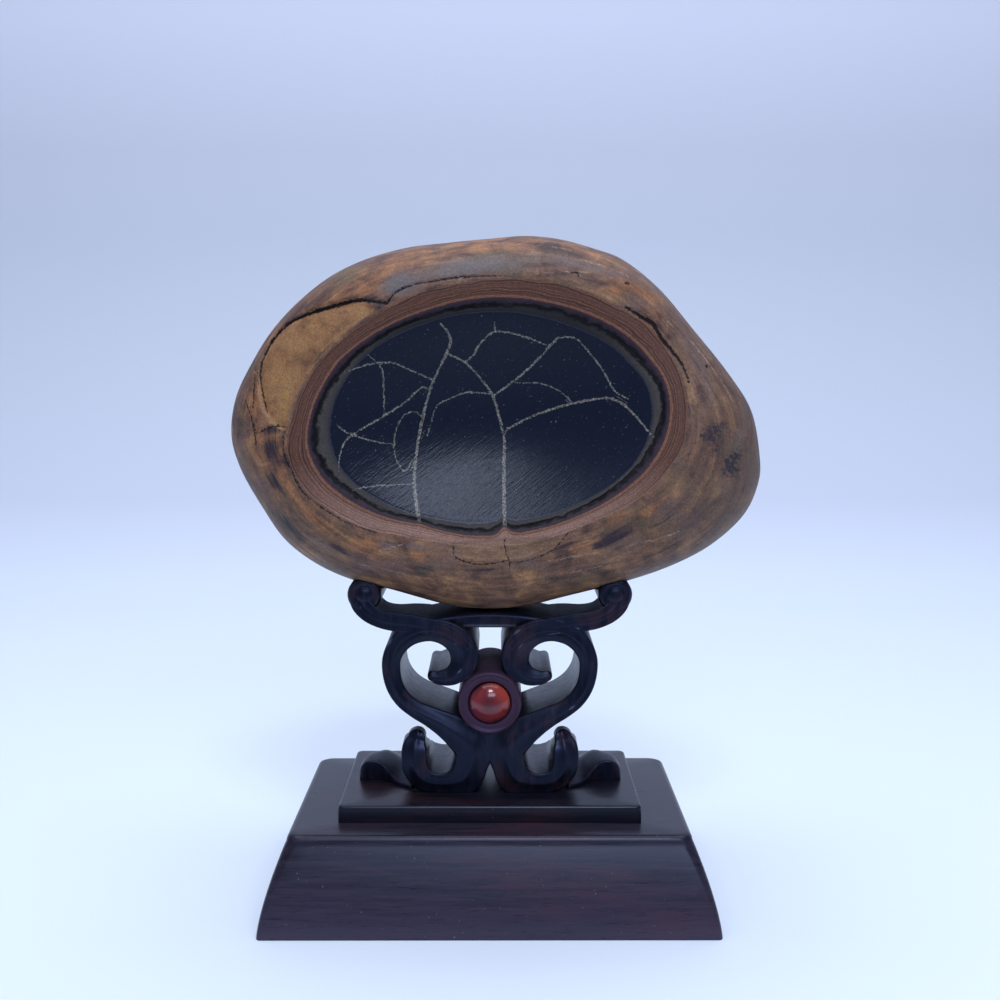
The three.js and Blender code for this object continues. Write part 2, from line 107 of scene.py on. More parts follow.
# The rings round the eye. Each row is an angle in degrees, anticlockwise from +X, and four edges as offsets
# from the eye's oval: where the dark core ends, where the grey-olive ring ends, the pair of orange lines,
# and the end of the brown banding. All of them pinch inwards where a vein's trunk meets them, at 237 and at
# 277 degrees.
RING_EDGES = np.array([
    (0.7, -3.9, -1.8, 0.6, 3.8), (10.6, -4.6, -2.2, 0.1, 3.6), (20.6, -5.6, -3.4, -0.6, 3.4),
    (30.5, -5.3, -3.2, -0.4, 4.3), (40.5, -5.0, -3.0, -0.2, 4.1), (50.4, -4.5, -2.5, 0.1, 4.3),
    (60.3, -3.8, -2.0, 0.3, 4.6), (75.1, -2.9, -1.7, 0.9, 4.7), (89.9, -2.5, -1.3, 1.2, 4.8),
    (104.6, -2.2, -1.2, 1.2, 4.7), (119.5, -2.2, -1.1, 0.9, 4.6), (134.4, -2.3, -1.1, 0.9, 4.4),
    (149.3, -2.5, -1.2, 0.9, 3.8), (159.4, -3.2, -1.6, 1.1, 4.0), (169.4, -3.9, -1.7, 0.4, 3.7),
    (179.4, -4.4, -1.4, 0.6, 4.0), (189.4, -4.3, -0.6, 1.5, 6.1), (199.5, -3.8, -1.1, 1.6, 6.4),
    (209.5, -3.6, -2.0, 1.0, 5.3), (219.5, -3.2, -2.0, 0.4, 4.5), (229.6, -2.8, -2.0, -0.2, 3.2),
    (236.6, -2.8, -2.3, -0.7, 2.8), (242.7, -2.6, -1.6, -0.2, 2.6), (249.8, -2.3, -1.2, 0.3, 2.6),
    (257.9, -2.0, -0.7, 0.8, 3.0), (270.2, -2.0, -0.7, 1.2, 3.5), (273.7, -2.3, -1.1, 0.8, 3.5),
    (277.1, -3.1, -2.3, -0.9, 3.3), (280.3, -2.3, -1.0, 0.8, 3.6), (284.4, -1.8, -0.6, 1.3, 3.6),
    (300.6, -1.4, -0.4, 1.4, 3.6), (315.8, -1.5, -0.5, 1.4, 3.7), (330.8, -1.7, -0.9, 1.6, 5.0),
    (340.8, -2.0, -1.2, 1.7, 5.2), (350.7, -2.9, -1.7, 1.3, 5.1),
])

VEIN_THINNING = 0.68
# Pale calcite veins in the eye. Each is a line of x, z and half width.
VEINS = [
    [(-16.3, 92.8, 0.62), (-17.7, 102.5, 0.56), (-17.1, 110.4, 0.5), (-16.0, 116.7, 0.48),
     (-14.1, 124.0, 0.42), (-11.8, 129.3, 0.38), (-10.0, 132.9, 0.42), (-9.0, 136.4, 0.38),
     (-11.2, 139.5, 0.3)],
    [(3.6, 91.1, 0.66), (3.4, 98.9, 0.58), (3.4, 107.7, 0.52), (3.4, 113.1, 0.46), (2.1, 118.5, 0.42),
     (0.7, 123.0, 0.4), (-1.5, 126.2, 0.36), (-5.1, 130.2, 0.32), (-10.0, 132.9, 0.36)],
    [(1.2, 123.1, 0.34), (6.6, 127.1, 0.36), (11.0, 131.1, 0.34), (15.8, 136.4, 0.3)],
    [(13.2, 134.7, 0.26), (7.4, 136.9, 0.28), (1.2, 137.8, 0.32), (-2.4, 134.7, 0.28), (-3.8, 132.4, 0.28),
     (-6.0, 130.7, 0.26)],
    [(1.2, 137.8, 0.26), (1.2, 139.9, 0.2)],
    [(3.4, 113.6, 0.34), (4.8, 115.3, 0.36), (11.1, 118.5, 0.38), (18.3, 120.8, 0.36), (26.3, 122.4, 0.4),
     (29.8, 121.8, 0.44), (32.4, 120.0, 0.4), (35.9, 116.1, 0.34), (38.1, 113.4, 0.26)],
    [(32.3, 122.3, 0.22), (29.3, 124.1, 0.26), (26.1, 129.4, 0.26), (22.5, 133.8, 0.24),
     (19.8, 136.4, 0.24), (15.8, 136.4, 0.26)],
    [(6.6, 125.9, 0.2), (12.0, 125.8, 0.24), (16.5, 124.0, 0.22), (19.2, 121.5, 0.2)],
    [(0.5, 123.2, 0.26), (-5.1, 123.7, 0.28), (-10.6, 121.7, 0.26), (-12.8, 119.9, 0.24),
     (-13.9, 116.0, 0.2), (-14.8, 113.4, 0.16)],
    [(-13.2, 126.6, 0.26), (-19.3, 129.3, 0.28), (-22.8, 130.7, 0.3), (-28.1, 130.2, 0.24),
     (-33.4, 128.5, 0.2)],
    [(-28.0, 132.4, 0.2), (-25.0, 129.3, 0.24), (-24.7, 124.0, 0.26), (-24.7, 118.6, 0.22)],
    [(-14.1, 124.0, 0.24), (-15.9, 124.9, 0.26), (-19.5, 121.7, 0.28), (-24.8, 118.2, 0.28),
     (-31.0, 114.6, 0.28), (-33.7, 112.4, 0.28), (-35.0, 108.9, 0.26), (-35.2, 105.3, 0.2)],
    [(-35.8, 116.5, 0.2), (-32.8, 114.2, 0.24), (-26.7, 112.2, 0.22), (-22.7, 111.6, 0.18)],
    [(-16.0, 118.1, 0.2), (-17.8, 119.2, 0.22), (-20.4, 118.1, 0.22), (-22.2, 114.1, 0.24),
     (-22.4, 109.6, 0.22), (-21.3, 106.9, 0.2), (-20.0, 105.1, 0.18), (-18.2, 107.8, 0.14)],
    [(-31.9, 101.1, 0.24), (-27.5, 101.9, 0.26), (-18.2, 102.3, 0.18)],
]

# Open cracks and ledges in the rind. Each is a line of angle in degrees round the eye, offset from its
# oval, half width and depth.
CRACKS = [
    # the ledge over the ochre patch
    [(179, 10.5, 0.1, 0.1), (170, 15.2, 0.22, 0.5), (165, 16.8, 0.28, 0.7), (160, 17.2, 0.34, 0.8),
     (155, 16.4, 0.34, 0.9), (150, 14.2, 0.38, 0.9), (145, 11.8, 0.42, 1.0), (139, 9.7, 0.46, 1.0),
     (135.5, 7.4, 0.36, 0.7), (132.5, 5.3, 0.28, 0.5)],
    # its thin run along the outside of the banding
    [(132.5, 5.3, 0.26, 0.5), (127, 6.9, 0.24, 0.35), (120, 7.0, 0.14, 0.2), (113, 6.4, 0.16, 0.2),
     (103, 6.0, 0.2, 0.25), (94, 5.6, 0.16, 0.15), (84, 5.4, 0.1, 0.1)],
    [(39, 4.9, 0.24, 0.3), (33, 5.0, 0.4, 0.6), (30, 5.4, 0.5, 0.7), (27, 4.7, 0.4, 0.7),
     (24, 4.2, 0.42, 0.6), (20, 4.3, 0.34, 0.5), (15, 4.8, 0.3, 0.3), (10, 4.9, 0.2, 0.2)],
    # thin cracks from the flake and beside the patch
    [(277, 1.4, 0.1, 0.1), (276.4, 4.2, 0.12, 0.15), (277.4, 7.2, 0.08, 0.1), (277, 10.5, 0.06, 0.05)],
    [(183, 4.8, 0.12, 0.1), (182.4, 8.2, 0.2, 0.2), (184, 12.8, 0.12, 0.1)],
    [(168, 17.6, 0.1, 0.1), (173, 15.4, 0.18, 0.2), (178, 14.2, 0.1, 0.1)],
    [(176, 16.8, 0.1, 0.1), (181, 14.0, 0.18, 0.2), (187, 13.2, 0.1, 0.1)],
    # the wavy edge of the banding at the lower left, and the edge of the flake below the eye
    [(185, 6.2, 0.12, 0.1), (190, 6.9, 0.16, 0.15), (196, 6.6, 0.14, 0.15), (202, 7.0, 0.16, 0.15),
     (209, 6.0, 0.16, 0.15), (216, 5.4, 0.12, 0.1), (225, 4.4, 0.1, 0.1)],
    [(254, 3.3, 0.12, 0.15), (255.6, 5.6, 0.16, 0.2), (260, 6.8, 0.14, 0.2), (266, 7.4, 0.14, 0.2),
     (272, 7.2, 0.14, 0.15), (276, 7.0, 0.14, 0.15), (280, 7.7, 0.1, 0.15), (288, 7.5, 0.1, 0.15),
     (294, 6.8, 0.12, 0.15), (299, 5.6, 0.12, 0.15), (304, 3.8, 0.1, 0.1)],
    # small open pits
    [(60.5, 7.9, 0.2, 0.4), (58.5, 8.2, 0.2, 0.4), (58.0, 7.6, 0.14, 0.3)],
    [(44.6, 10.3, 0.3, 0.4), (43.8, 10.4, 0.2, 0.3)],
    [(13.4, 10.4, 0.22, 0.4), (12.6, 10.1, 0.2, 0.3)],
]
# Pale scratches and creases in the rind. Each is a line of angle, offset and half width.
SCRATCHES = [
    [(3, 15.4, 0.08), (7, 13.6, 0.14), (12, 11.7, 0.12), (20, 9.8, 0.14), (28, 8.4, 0.1)],
    [(45, 12.1, 0.1), (52, 12.0, 0.14), (60, 11.7, 0.08)],
    [(55, 9.3, 0.14), (63, 7.8, 0.12), (72, 6.3, 0.08)],
    [(230, 8.2, 0.22), (233, 6.2, 0.18), (236, 4.7, 0.1)],
    [(290, 8.9, 0.08), (302, 9.8, 0.14), (310, 11.7, 0.16), (318, 13.6, 0.12), (325, 16.4, 0.14),
     (330, 18.7, 0.08)],
    [(296, 13.2, 0.08), (304, 14.2, 0.14), (309, 15.4, 0.08)],
    [(64, 13.6, 0.08), (76, 13.2, 0.12), (90, 13.4, 0.08)],
    [(226, 14.0, 0.08), (236, 12.6, 0.14), (246, 12.4, 0.08)],
]
# Stains in the rind: angle, offset from the eye's oval, half length in degrees, half width and strength
RUST = [
    (40, 10.4, 7, 1.4, 1.0), (45, 8.4, 3, 2.2, 0.8), (98, 12.0, 22, 0.8, 1.1), (80, 14.2, 30, 1.0, 0.7),
    (138, 11.0, 13, 3.4, 0.9), (122, 13.6, 14, 2.2, 0.6), (176, 14.6, 9, 3.0, 0.7), (192, 10.0, 8, 3.6, 0.6),
    (207, 9.3, 9, 1.5, 1.0), (227, 7.6, 6, 2.4, 0.8), (243, 7.0, 4, 1.5, 0.9), (320, 5.8, 5, 1.1, 1.1),
    (330, 9.0, 6, 1.7, 0.8), (302, 8.0, 6, 1.0, 0.7), (260, 13.0, 16, 1.6, 0.4), (286, 11.4, 9, 0.9, 0.7),
    (346, 8.0, 4, 1.2, 0.5), (6, 17.0, 6, 1.6, 0.5), (160, 19.5, 14, 1.4, 0.5),
]
SHADE = [
    (189, 9.6, 4, 2.4, 0.9), (197, 12.0, 4, 2.0, 0.8), (209, 16.0, 9, 1.8, 0.8), (221, 12.0, 5, 2.0, 0.7),
    (183, 8.8, 1.5, 4.0, 0.7), (316, 9.6, 11, 1.7, 1.0), (300, 6.6, 7, 0.9, 0.8), (246, 9.4, 8, 1.2, 0.6),
    (268, 8.6, 14, 0.8, 0.6), (75, 8.0, 12, 0.8, 0.5), (234, 15.2, 12, 1.2, 0.5), (334, 13.0, 8, 1.2, 0.7),
    (352, 10.0, 4, 1.4, 0.5), (160, 18.6, 14, 0.7, 0.5), (340, 6.8, 6, 0.8, 0.6),
]
# The haze is partly a grey tone and partly painted sheen, where the light catches the rind's crest at the top
GREY_HAZE_AND_SHEEN = [
    (97, 8.2, 23, 2.4, 1.0), (125, 8.4, 6, 3.0, 0.9), (60, 10.6, 18, 1.6, 0.6), (15, 9.0, 17, 3.0, 0.5),
    (231, 6.4, 4, 1.6, 0.6), (240, 4.8, 6, 0.8, 0.6), (216, 14.0, 8, 1.6, 0.5), (30, 14.6, 16, 1.6, 0.6),
    (355, 18.0, 10, 1.6, 0.5),
]
SPECKLE = [
    (355.5, 9.4, 2.6, 2.4, 1.0), (357.5, 12.4, 2.0, 2.0, 0.9), (352.5, 12.6, 2.2, 1.6, 0.8),
    (349, 17.6, 2.8, 2.6, 1.1), (347, 19.6, 1.6, 1.8, 0.8), (351.5, 18.8, 1.4, 1.6, 0.8),
]
# Where a flake of the rind has come away, down to an ochre layer
PATCH_OUTLINE = np.array([
    (-26.2, 142.9), (-30.7, 145.2), (-37.8, 144.2), (-44.8, 141.0), (-50.2, 137.4), (-53.3, 132.1),
    (-54.2, 125.0), (-52.8, 119.6), (-49.7, 116.0), (-47.0, 115.4), (-46.0, 120.6), (-42.0, 128.7),
    (-36.7, 134.9), (-29.6, 140.2),
])
FLAKE_OUTLINE = np.array([
    (-9.5, 88.5), (-8.2, 85.8), (-0.6, 84.8), (5.7, 85.1), (12.8, 86.3), (16.8, 89.5), (9.0, 90.0),
    (0.0, 89.6),
])


def linear(hex_colour, alpha=1.0):
    """An sRGB hex colour as linear RGBA."""
    parts = [int(hex_colour[i:i + 2], 16) / 255 for i in (1, 3, 5)]
    return (*(p / 12.92 if p <= 0.04045 else ((p + 0.055) / 1.055) ** 2.4 for p in parts), alpha)


def smooth(rows, steps, closed=False):
    """Catmull-Rom curve through the rows: each new row is a cubic mix of the four rows around it."""
    rows = np.asarray(rows, float)
    if closed:
        before, here, after, beyond = (np.roll(rows, shift, axis=0) for shift in (1, 0, -1, -2))
    else:
        padded = np.vstack([rows[:1], rows, rows[-1:]])
        before, here, after, beyond = padded[:-3], padded[1:-2], padded[2:-1], padded[3:]
    t = (np.arange(steps) / steps)[None, :, None]
    before, here, after, beyond = (part[:, None, :] for part in (before, here, after, beyond))
    curve = here + 0.5 * t * (after - before + t * (
        2 * before - 5 * here + 4 * after - beyond + t * (3 * (here - after) + beyond - before)))
    curve = curve.reshape(-1, rows.shape[1])
    return curve if closed else np.vstack([curve, rows[-1:]])


def smoothstep(value, low, high):
    """0 below low, 1 above high, and a cubic in between."""
    t = np.clip((value - low) / (high - low), 0, 1)
    return t * t * (3 - 2 * t)


def nearest_on_lines(x, z, lines):
    """For each point, the nearest point of the lines: the offset to it in x and z, the distance, and the
    values that the line carries there. Each segment is tested in turn against all points at once."""
    width = len(lines[0][0]) - 2
    best = np.full(x.shape, np.inf)
    offset = np.zeros(x.shape + (2,))
    carried = np.zeros(x.shape + (width,))
    for line in lines:
        curve = smooth(line, 4)
        for a, b in zip(curve[:-1], curve[1:]):
            dx, dz = b[0] - a[0], b[1] - a[1]
            t = ((x - a[0]) * dx + (z - a[1]) * dz) / (dx * dx + dz * dz + 1e-9)
            t = np.clip(t, 0, 1)
            ox, oz = a[0] + t * dx - x, a[1] + t * dz - z
            distance = np.hypot(ox, oz)
            nearer = distance < best
            best = np.where(nearer, distance, best)
            offset[nearer] = np.stack([ox, oz], -1)[nearer]
            carried[nearer] = (a[2:] + t[..., None] * (b[2:] - a[2:]))[nearer]
    return offset, best, carried


def depth_inside(x, z, outline):
    """Distance to a closed outline, positive inside. A point is inside where a line to the right crosses
    the outline an odd number of times."""
    curve = smooth(outline, 4, closed=True)
    ends = np.roll(curve, -1, axis=0)
    nearest = np.full(x.shape, np.inf)
    inside = np.zeros(x.shape, bool)
    for (x1, z1), (x2, z2) in zip(curve, ends):
        dx, dz = x2 - x1, z2 - z1
        t = np.clip(((x - x1) * dx + (z - z1) * dz) / (dx ** 2 + dz ** 2), 0, 1)
        nearest = np.minimum(nearest, np.hypot(x - x1 - t * dx, z - z1 - t * dz))
        crosses = (z1 > z) != (z2 > z)
        inside ^= crosses & (x < x1 + dx * (z - z1) / (dz if dz != 0 else 1e-9))
    return np.where(inside, nearest, -nearest)


def write_mesh(name, vertices, quads, triangles, attributes):
    """A mesh from arrays in millimetres, turned to a positive volume, with values on its vertices."""
    corners = np.vstack([quads[:, [0, 1, 2]], quads[:, [0, 2, 3]], triangles])
    a, b, c = (vertices[corners[:, i]] for i in range(3))
    if np.einsum("ij,ij->i", a, np.cross(b, c)).sum() < 0:
        quads = quads[:, ::-1]
        triangles = triangles[:, ::-1]
    mesh = bpy.data.meshes.new(name)
    mesh.vertices.add(len(vertices))
    mesh.vertices.foreach_set("co", (vertices * MM).ravel())
    loops = np.concatenate([quads.ravel(), triangles.ravel()]).astype(np.int32)
    starts = np.concatenate([
        np.arange(len(quads)) * 4, len(quads) * 4 + np.arange(len(triangles)) * 3])
    mesh.loops.add(len(loops))
    mesh.loops.foreach_set("vertex_index", loops)
    mesh.polygons.add(len(starts))
    mesh.polygons.foreach_set("loop_start", starts.astype(np.int32))
    mesh.update(calc_edges=True)
    if mesh.validate():
        raise RuntimeError(f"{name} has faces that Blender had to mend")
    for key, values in attributes.items():
        kind, field = ("FLOAT", "value") if values.ndim == 1 else ("FLOAT_VECTOR", "vector")
        mesh.attributes.new(key, kind, "POINT").data.foreach_set(field, values.ravel().astype(np.float32))
    return mesh


def shown(name, mesh, sharp):
    """Object of a mesh in the scene, smooth but for the edges that turn by more than the sharp angle."""
    mesh.shade_smooth()
    mesh.set_sharp_from_angle(angle=sharp)
    piece = bpy.data.objects.new(name, mesh)
    bpy.context.scene.collection.objects.link(piece)
    return piece


def closed_skin(name, rings, attributes=None, sharp=HARD_ANGLE):
    """Object from rings of points (rows, columns, 3): quads between neighbouring rings, and a fan from the
    middle of the first and the last ring. Edges that turn by more than the sharp angle stay hard."""
    rows, columns = rings.shape[:2]
    grid = np.arange(rows * columns).reshape(rows, columns)
    right = np.roll(grid, -1, axis=1)
    quads = np.stack([grid[:-1], right[:-1], right[1:], grid[1:]], -1).reshape(-1, 4)
    first, last = rows * columns, rows * columns + 1
    fans = np.vstack([
        np.stack([right[0], grid[0], np.full(columns, first)], -1),
        np.stack([grid[-1], right[-1], np.full(columns, last)], -1),
    ])
    vertices = np.vstack([rings.reshape(-1, 3), rings[0].mean(0), rings[-1].mean(0)])
    values = {}
    for key, field in (attributes or {}).items():
        flat = field.reshape(rows * columns, *field.shape[2:])
        values[key] = np.concatenate([flat, field[0].mean(0)[None], field[-1].mean(0)[None]])
    return shown(name, write_mesh(name, vertices, quads, fans, values), sharp)


def add_node(tree, kind, inputs=(), stops=(), **settings):
    """Add one shader node with its settings. The inputs fill its sockets in their order, or by name from a
    dict: each is a value, an sRGB hex colour, a socket, or another node, which gives its first output. The
    stops fill a colour ramp: each is a position with a hex colour, a linear colour or a grey value."""
    node = tree.nodes.new("ShaderNode" + kind)
    for key, value in settings.items():
        setattr(node, key, value)
    for index, (position, colour) in enumerate(stops):
        elements = node.color_ramp.elements
        stop = elements[index] if index < 2 else elements.new(position)
        stop.position = position
        if isinstance(colour, str):
            colour = linear(colour)
        stop.color = (colour, colour, colour, 1) if isinstance(colour, float) else colour
    for key, value in inputs.items() if isinstance(inputs, dict) else enumerate(inputs):
        if isinstance(value, bpy.types.Node):
            value = value.outputs[0]
        if isinstance(value, bpy.types.NodeSocket):
            tree.links.new(value, node.inputs[key])
        else:
            node.inputs[key].default_value = linear(value) if isinstance(value, str) else value
    return node


def new_material(name):
    """An empty node material, and the function that adds a node to it."""
    material = bpy.data.materials.new(name)
    material.use_nodes = True
    material.node_tree.nodes.clear()
    return material, functools.partial(add_node, material.node_tree)


def finished(material, add, sockets):
    """The material closed with its shader, whose constant values are set on the shader's own sockets."""
    add("OutputMaterial", (add("BsdfPrincipled", sockets),))
    return material


def per_mm(size):
    """Noise scale on object coordinates for features this many millimetres across."""
    return 1 / (size * MM)


def eye_radius(angle, shape):
    """Distance from the eye's centre to its oval at an angle: an ellipse turned by the tilt."""
    across = angle - shape.eye_tilt
    half_width, half_height = shape.eye_half_width / MM, shape.eye_half_height / MM
    return 1 / np.hypot(np.cos(across) / half_width, np.sin(across) / half_height)


def outline_radius(angle):
    """Distance from the eye's centre to the outline at an angle, from a smooth curve through its points."""
    curve = smooth(STONE_OUTLINE, 24, closed=True) - EYE_CENTRE
    angles = np.arctan2(curve[:, 1], curve[:, 0])
    order = np.argsort(angles)
    return np.interp(angle, angles[order], np.hypot(*curve.T)[order], period=2 * math.pi)


def ring_edges(angle):
    """The four ring edges at each angle, with their corners rounded by a short running average."""
    edges = np.stack([
        np.interp(np.degrees(angle), RING_EDGES[:, 0], RING_EDGES[:, k], period=360) for k in range(1, 5)])
    for _ in range(3):
        edges = (np.roll(edges, 1, axis=1) + 2 * edges + np.roll(edges, -1, axis=1)) / 4
    return edges


def layer_coordinate(offset, edges):
    """Where a point lies among the rings: below 0 in the dark core, 0 to 1 in the grey ring, 1 to 2 out to
    the orange lines, 2 to 3 across the brown banding, and above 3 on the rind."""
    core, grey, line, band = edges
    return np.select(
        [offset < core, offset < grey, offset < line, offset < band],
        [(offset - core) / CORE_LAYER, (offset - core) / (grey - core), 1 + (offset - grey) / (line - grey),
         2 + (offset - line) / (band - line)],
        3 + (offset - band) / RIND_LAYER,
    )


def ripple(x, z, waves, seed):
    """Sum of a few plane waves with seeded directions and phases, each given as a length and a height."""
    random = np.random.default_rng(seed)
    total = np.zeros(np.broadcast(x, z).shape)
    for length, height in waves:
        turn, phase = random.uniform(0, 2 * math.pi, 2)
        total += height * np.sin(2 * math.pi * (x * np.cos(turn) + z * np.sin(turn)) / length + phase)
    return total


def from_polar(lines, shape):
    """Lines of angle, offset from the eye's oval and further values, as lines of x, z and those values."""
    placed = []
    for line in lines:
        rows = np.asarray(line, float)
        angle = np.radians(rows[:, 0])
        radius = eye_radius(angle, shape) + rows[:, 1]
        rows[:, :2] = EYE_CENTRE + radius[:, None] * np.stack([np.cos(angle), np.sin(angle)], -1)
        placed.append(rows)
    return placed


def stain(angle, offset, spots):
    """Sum of bell-shaped spots, given by angle, offset, half length in degrees, half width and strength."""
    total = np.zeros(offset.shape)
    for at_angle, at_offset, half_length, half_width, strength in spots:
        turn = (np.degrees(angle) - at_angle + 180) % 360 - 180
        total += strength * np.exp(-(turn / half_length) ** 2 - ((offset - at_offset) / half_width) ** 2)
    return total


def stone_rings(shape):
    """The stone as rings round a line through the eye. The front is a blunt superellipse swelling with a
    bell-shaped dish taken out of it; the back is a rounder one. Returns the rings and the values that the
    finish reads."""
    angle = np.arange(STONE_COLUMNS) / STONE_COLUMNS * 2 * math.pi - math.pi
    eye = eye_radius(angle, shape)
    reach = outline_radius(angle) * OUTLINE_SHRINK
    core = np.linspace(CORE_START, 1, CORE_ROWS)[:, None] * (eye + RING_START)
    ring = eye + np.linspace(RING_START, RING_END, RING_ROWS + 1)[1:, None]
    rind_part = 1 - (1 - np.linspace(0, 1, RIND_ROWS + 1)[1:, None]) ** 2
    rind = (eye + RING_END) + (reach - eye - RING_END) * rind_part
    front_radius = np.vstack([core, ring, rind])
    back_radius = reach * (1 - np.linspace(0, 1, BACK_ROWS + 2)[1:-1, None] ** BACK_SPACING)

    x = EYE_CENTRE[0] + front_radius * np.cos(angle)
    z = EYE_CENTRE[1] + front_radius * np.sin(angle)
    part = np.minimum(front_radius / reach, 1)
    offset = front_radius - eye
    layer = layer_coordinate(offset, ring_edges(angle))
    swell = shape.front_swell / MM * (1 - part ** FRONT_POWER) ** EDGE_POWER
    dish = shape.dish_depth / MM * np.maximum(0, 1 - (front_radius / (DISH_REACH * eye)) ** 2) ** 2
    lumps = ripple(x, z, RIND_LUMPS, 5) * smoothstep(layer, 2.6, 3.6)
    fine = ripple(x, z, FINE_LUMPS, 9) * smoothstep(layer, 2.8, 3.2)
    step = EYE_STEP * (1 - smoothstep(layer, 0.9, 1.5))
    ragged = 0.5 + 0.5 * np.sin(5 * angle + 1.3 * np.sin(9 * angle) + 2 * np.sin(3 * angle + 0.7))
    groove = (GROOVE_DEPTH + GROOVE_RAGGED * ragged) * np.exp(-((layer - GROOVE_LAYER) / GROOVE_WIDTH) ** 2)
    patch = depth_inside(x, z, PATCH_OUTLINE)
    flake = depth_inside(x, z, FLAKE_OUTLINE)
    crack_offset, crack_distance, crack_values = nearest_on_lines(x, z, from_polar(CRACKS, shape))
    crack_width = np.maximum(crack_values[..., 0], CRACK_LEAST)
    crack = crack_values[..., 1] * np.exp(-(crack_distance / crack_width) ** 2)
    patch_sink = PATCH_DEPTH * smoothstep(patch, 0, 0.7) * smoothstep(layer, 2.9, 3.6)
    sink = patch_sink + FLAKE_DEPTH * smoothstep(flake, 0, 0.4)
    height = swell - dish - step - groove - sink - crack + (lumps + fine) * (1 - part ** 2)
    front = np.stack([x, -np.maximum(height, 0), z], -1)

    back_part = back_radius / reach
    back_x = EYE_CENTRE[0] + back_radius * np.cos(angle)
    back_z = EYE_CENTRE[1] + back_radius * np.sin(angle)
    back_lumps = ripple(back_x, back_z, BACK_LUMPS, 11) * (1 - back_part)
    back_swell = shape.back_swell / MM * (1 - back_part ** BACK_POWER) ** EDGE_POWER
    back = np.stack([back_x, np.maximum(back_swell - BACK_SINK + back_lumps, 0), back_z], -1)

    # The streaks run round the outline in front and at the back's rim, and level across the back's middle
    rows_behind = back_radius.shape
    across = (front_radius - eye) / (reach - eye)
    turn = FLOW_ROUND * np.stack([np.cos(angle), np.sin(angle)], -1)
    flow_front = np.concatenate([
        np.broadcast_to(turn, front_radius.shape + (2,)), (FLOW_ACROSS * across)[..., None]], -1)
    round_back = np.concatenate([
        np.broadcast_to(turn, rows_behind + (2,)),
        (FLOW_ACROSS + FLOW_BEHIND * (1 - back_part))[..., None]], -1)
    level_back = np.stack([back_x / 4, np.full(rows_behind, FLOW_LEVEL), back_z * 0.7], -1)
    share = smoothstep(back_part, 0.55, 0.92)[..., None]
    flow_back = share * round_back + (1 - share) * level_back

    def with_back(front_field, back_value):
        shape_behind = rows_behind + front_field.shape[2:]
        return np.concatenate([front_field, np.full(shape_behind, back_value, float)])

    stains_and_sheen = np.stack([stain(angle, offset, spots) for spots in (RUST, SHADE, GREY_HAZE_AND_SHEEN)], -1)
    attributes = {
        "layer": with_back(layer, BACK_LAYER),
        "flow": np.concatenate([flow_front, flow_back]),
        "stains_and_sheen": with_back(stains_and_sheen, 0),
        "speckle": with_back(stain(angle, offset, SPECKLE), 0),
        "patch": with_back(patch, -FAR_AWAY),
        "flake": with_back(flake, -FAR_AWAY),
    }
    vein_offset, vein_distance, vein_width = nearest_on_lines(x, z, VEINS)
    scratch_offset, scratch_distance, scratch_width = nearest_on_lines(x, z, from_polar(SCRATCHES, shape))
    for name, line_offset, distance, half_width in (
        ("vein", vein_offset, vein_distance, vein_width * VEIN_THINNING),
        ("crack", crack_offset, crack_distance, crack_values[..., :1]),
        ("scratch", scratch_offset, scratch_distance, scratch_width),
    ):
        attributes[f"{name}_offset"] = with_back(np.concatenate([line_offset, half_width], -1), FAR_AWAY)
        attributes[f"{name}_distance"] = with_back(distance, FAR_AWAY)
    return np.concatenate([front, back]), attributes


def stroke_mask(add, name, wobble, softness, reach):
    """1 on the lines stored under the name, 0 off them: the length of the offset to the nearest line is
    compared with the line's half width, and only within reach of the line's edge."""
    offset = add("Attribute", attribute_name=f"{name}_offset").outputs["Vector"]
    shaken = add("VectorMath", (offset, wobble), operation="ADD")
    x, z, half_width = add("SeparateXYZ", (shaken,)).outputs
    length = add("VectorMath", (add("CombineXYZ", (x, z)),), operation="LENGTH").outputs["Value"]
    depth = add("Math", (half_width, length), operation="SUBTRACT")
    edge = add("MapRange", (depth, -softness, softness), interpolation_type="SMOOTHSTEP")
    distance = add("Attribute", attribute_name=f"{name}_distance").outputs["Fac"]
    beside = add("Math", (distance, half_width), operation="SUBTRACT")
    near = add("Math", (beside, reach), operation="LESS_THAN")
    return add("Math", (edge, near), operation="MULTIPLY")


def ragged_share(add, amount, noise, spread, low, high):
    """How far a stain covers, 0 to 1: a noise breaks up its amount before it passes from low to high."""
    broken = add("Math", (noise, spread, -spread / 2), operation="MULTIPLY_ADD")
    total = add("Math", (broken, amount), operation="ADD")
    return add("MapRange", (total, low, high), interpolation_type="SMOOTHSTEP")


# Noises of the stone: size in mm, detail, roughness and distortion
STONE_NOISES = {
    "grit": (0.8, 4, 0.65, 0),
    "clods": (2.4, 4, 0.6, 0),
    "smoke": (7, 8, 0.66, 0.7),
    "drift": (12, 6, 0.6, 0.6),
    "blots": (0.9, 4, 0.8, 0),
    "mottle": (5, 7, 0.68, 0),
    "sand": (0.45, 3, 0.7, 0),
    "grain": (0.7, 3, 0.5, 0),
    "calcite": (0.4, 3, 0.7, 0),
    "specks": (0.5, 2, 0.5, 0),
    "pits": (0.5, 5, 0.65, 0),
}


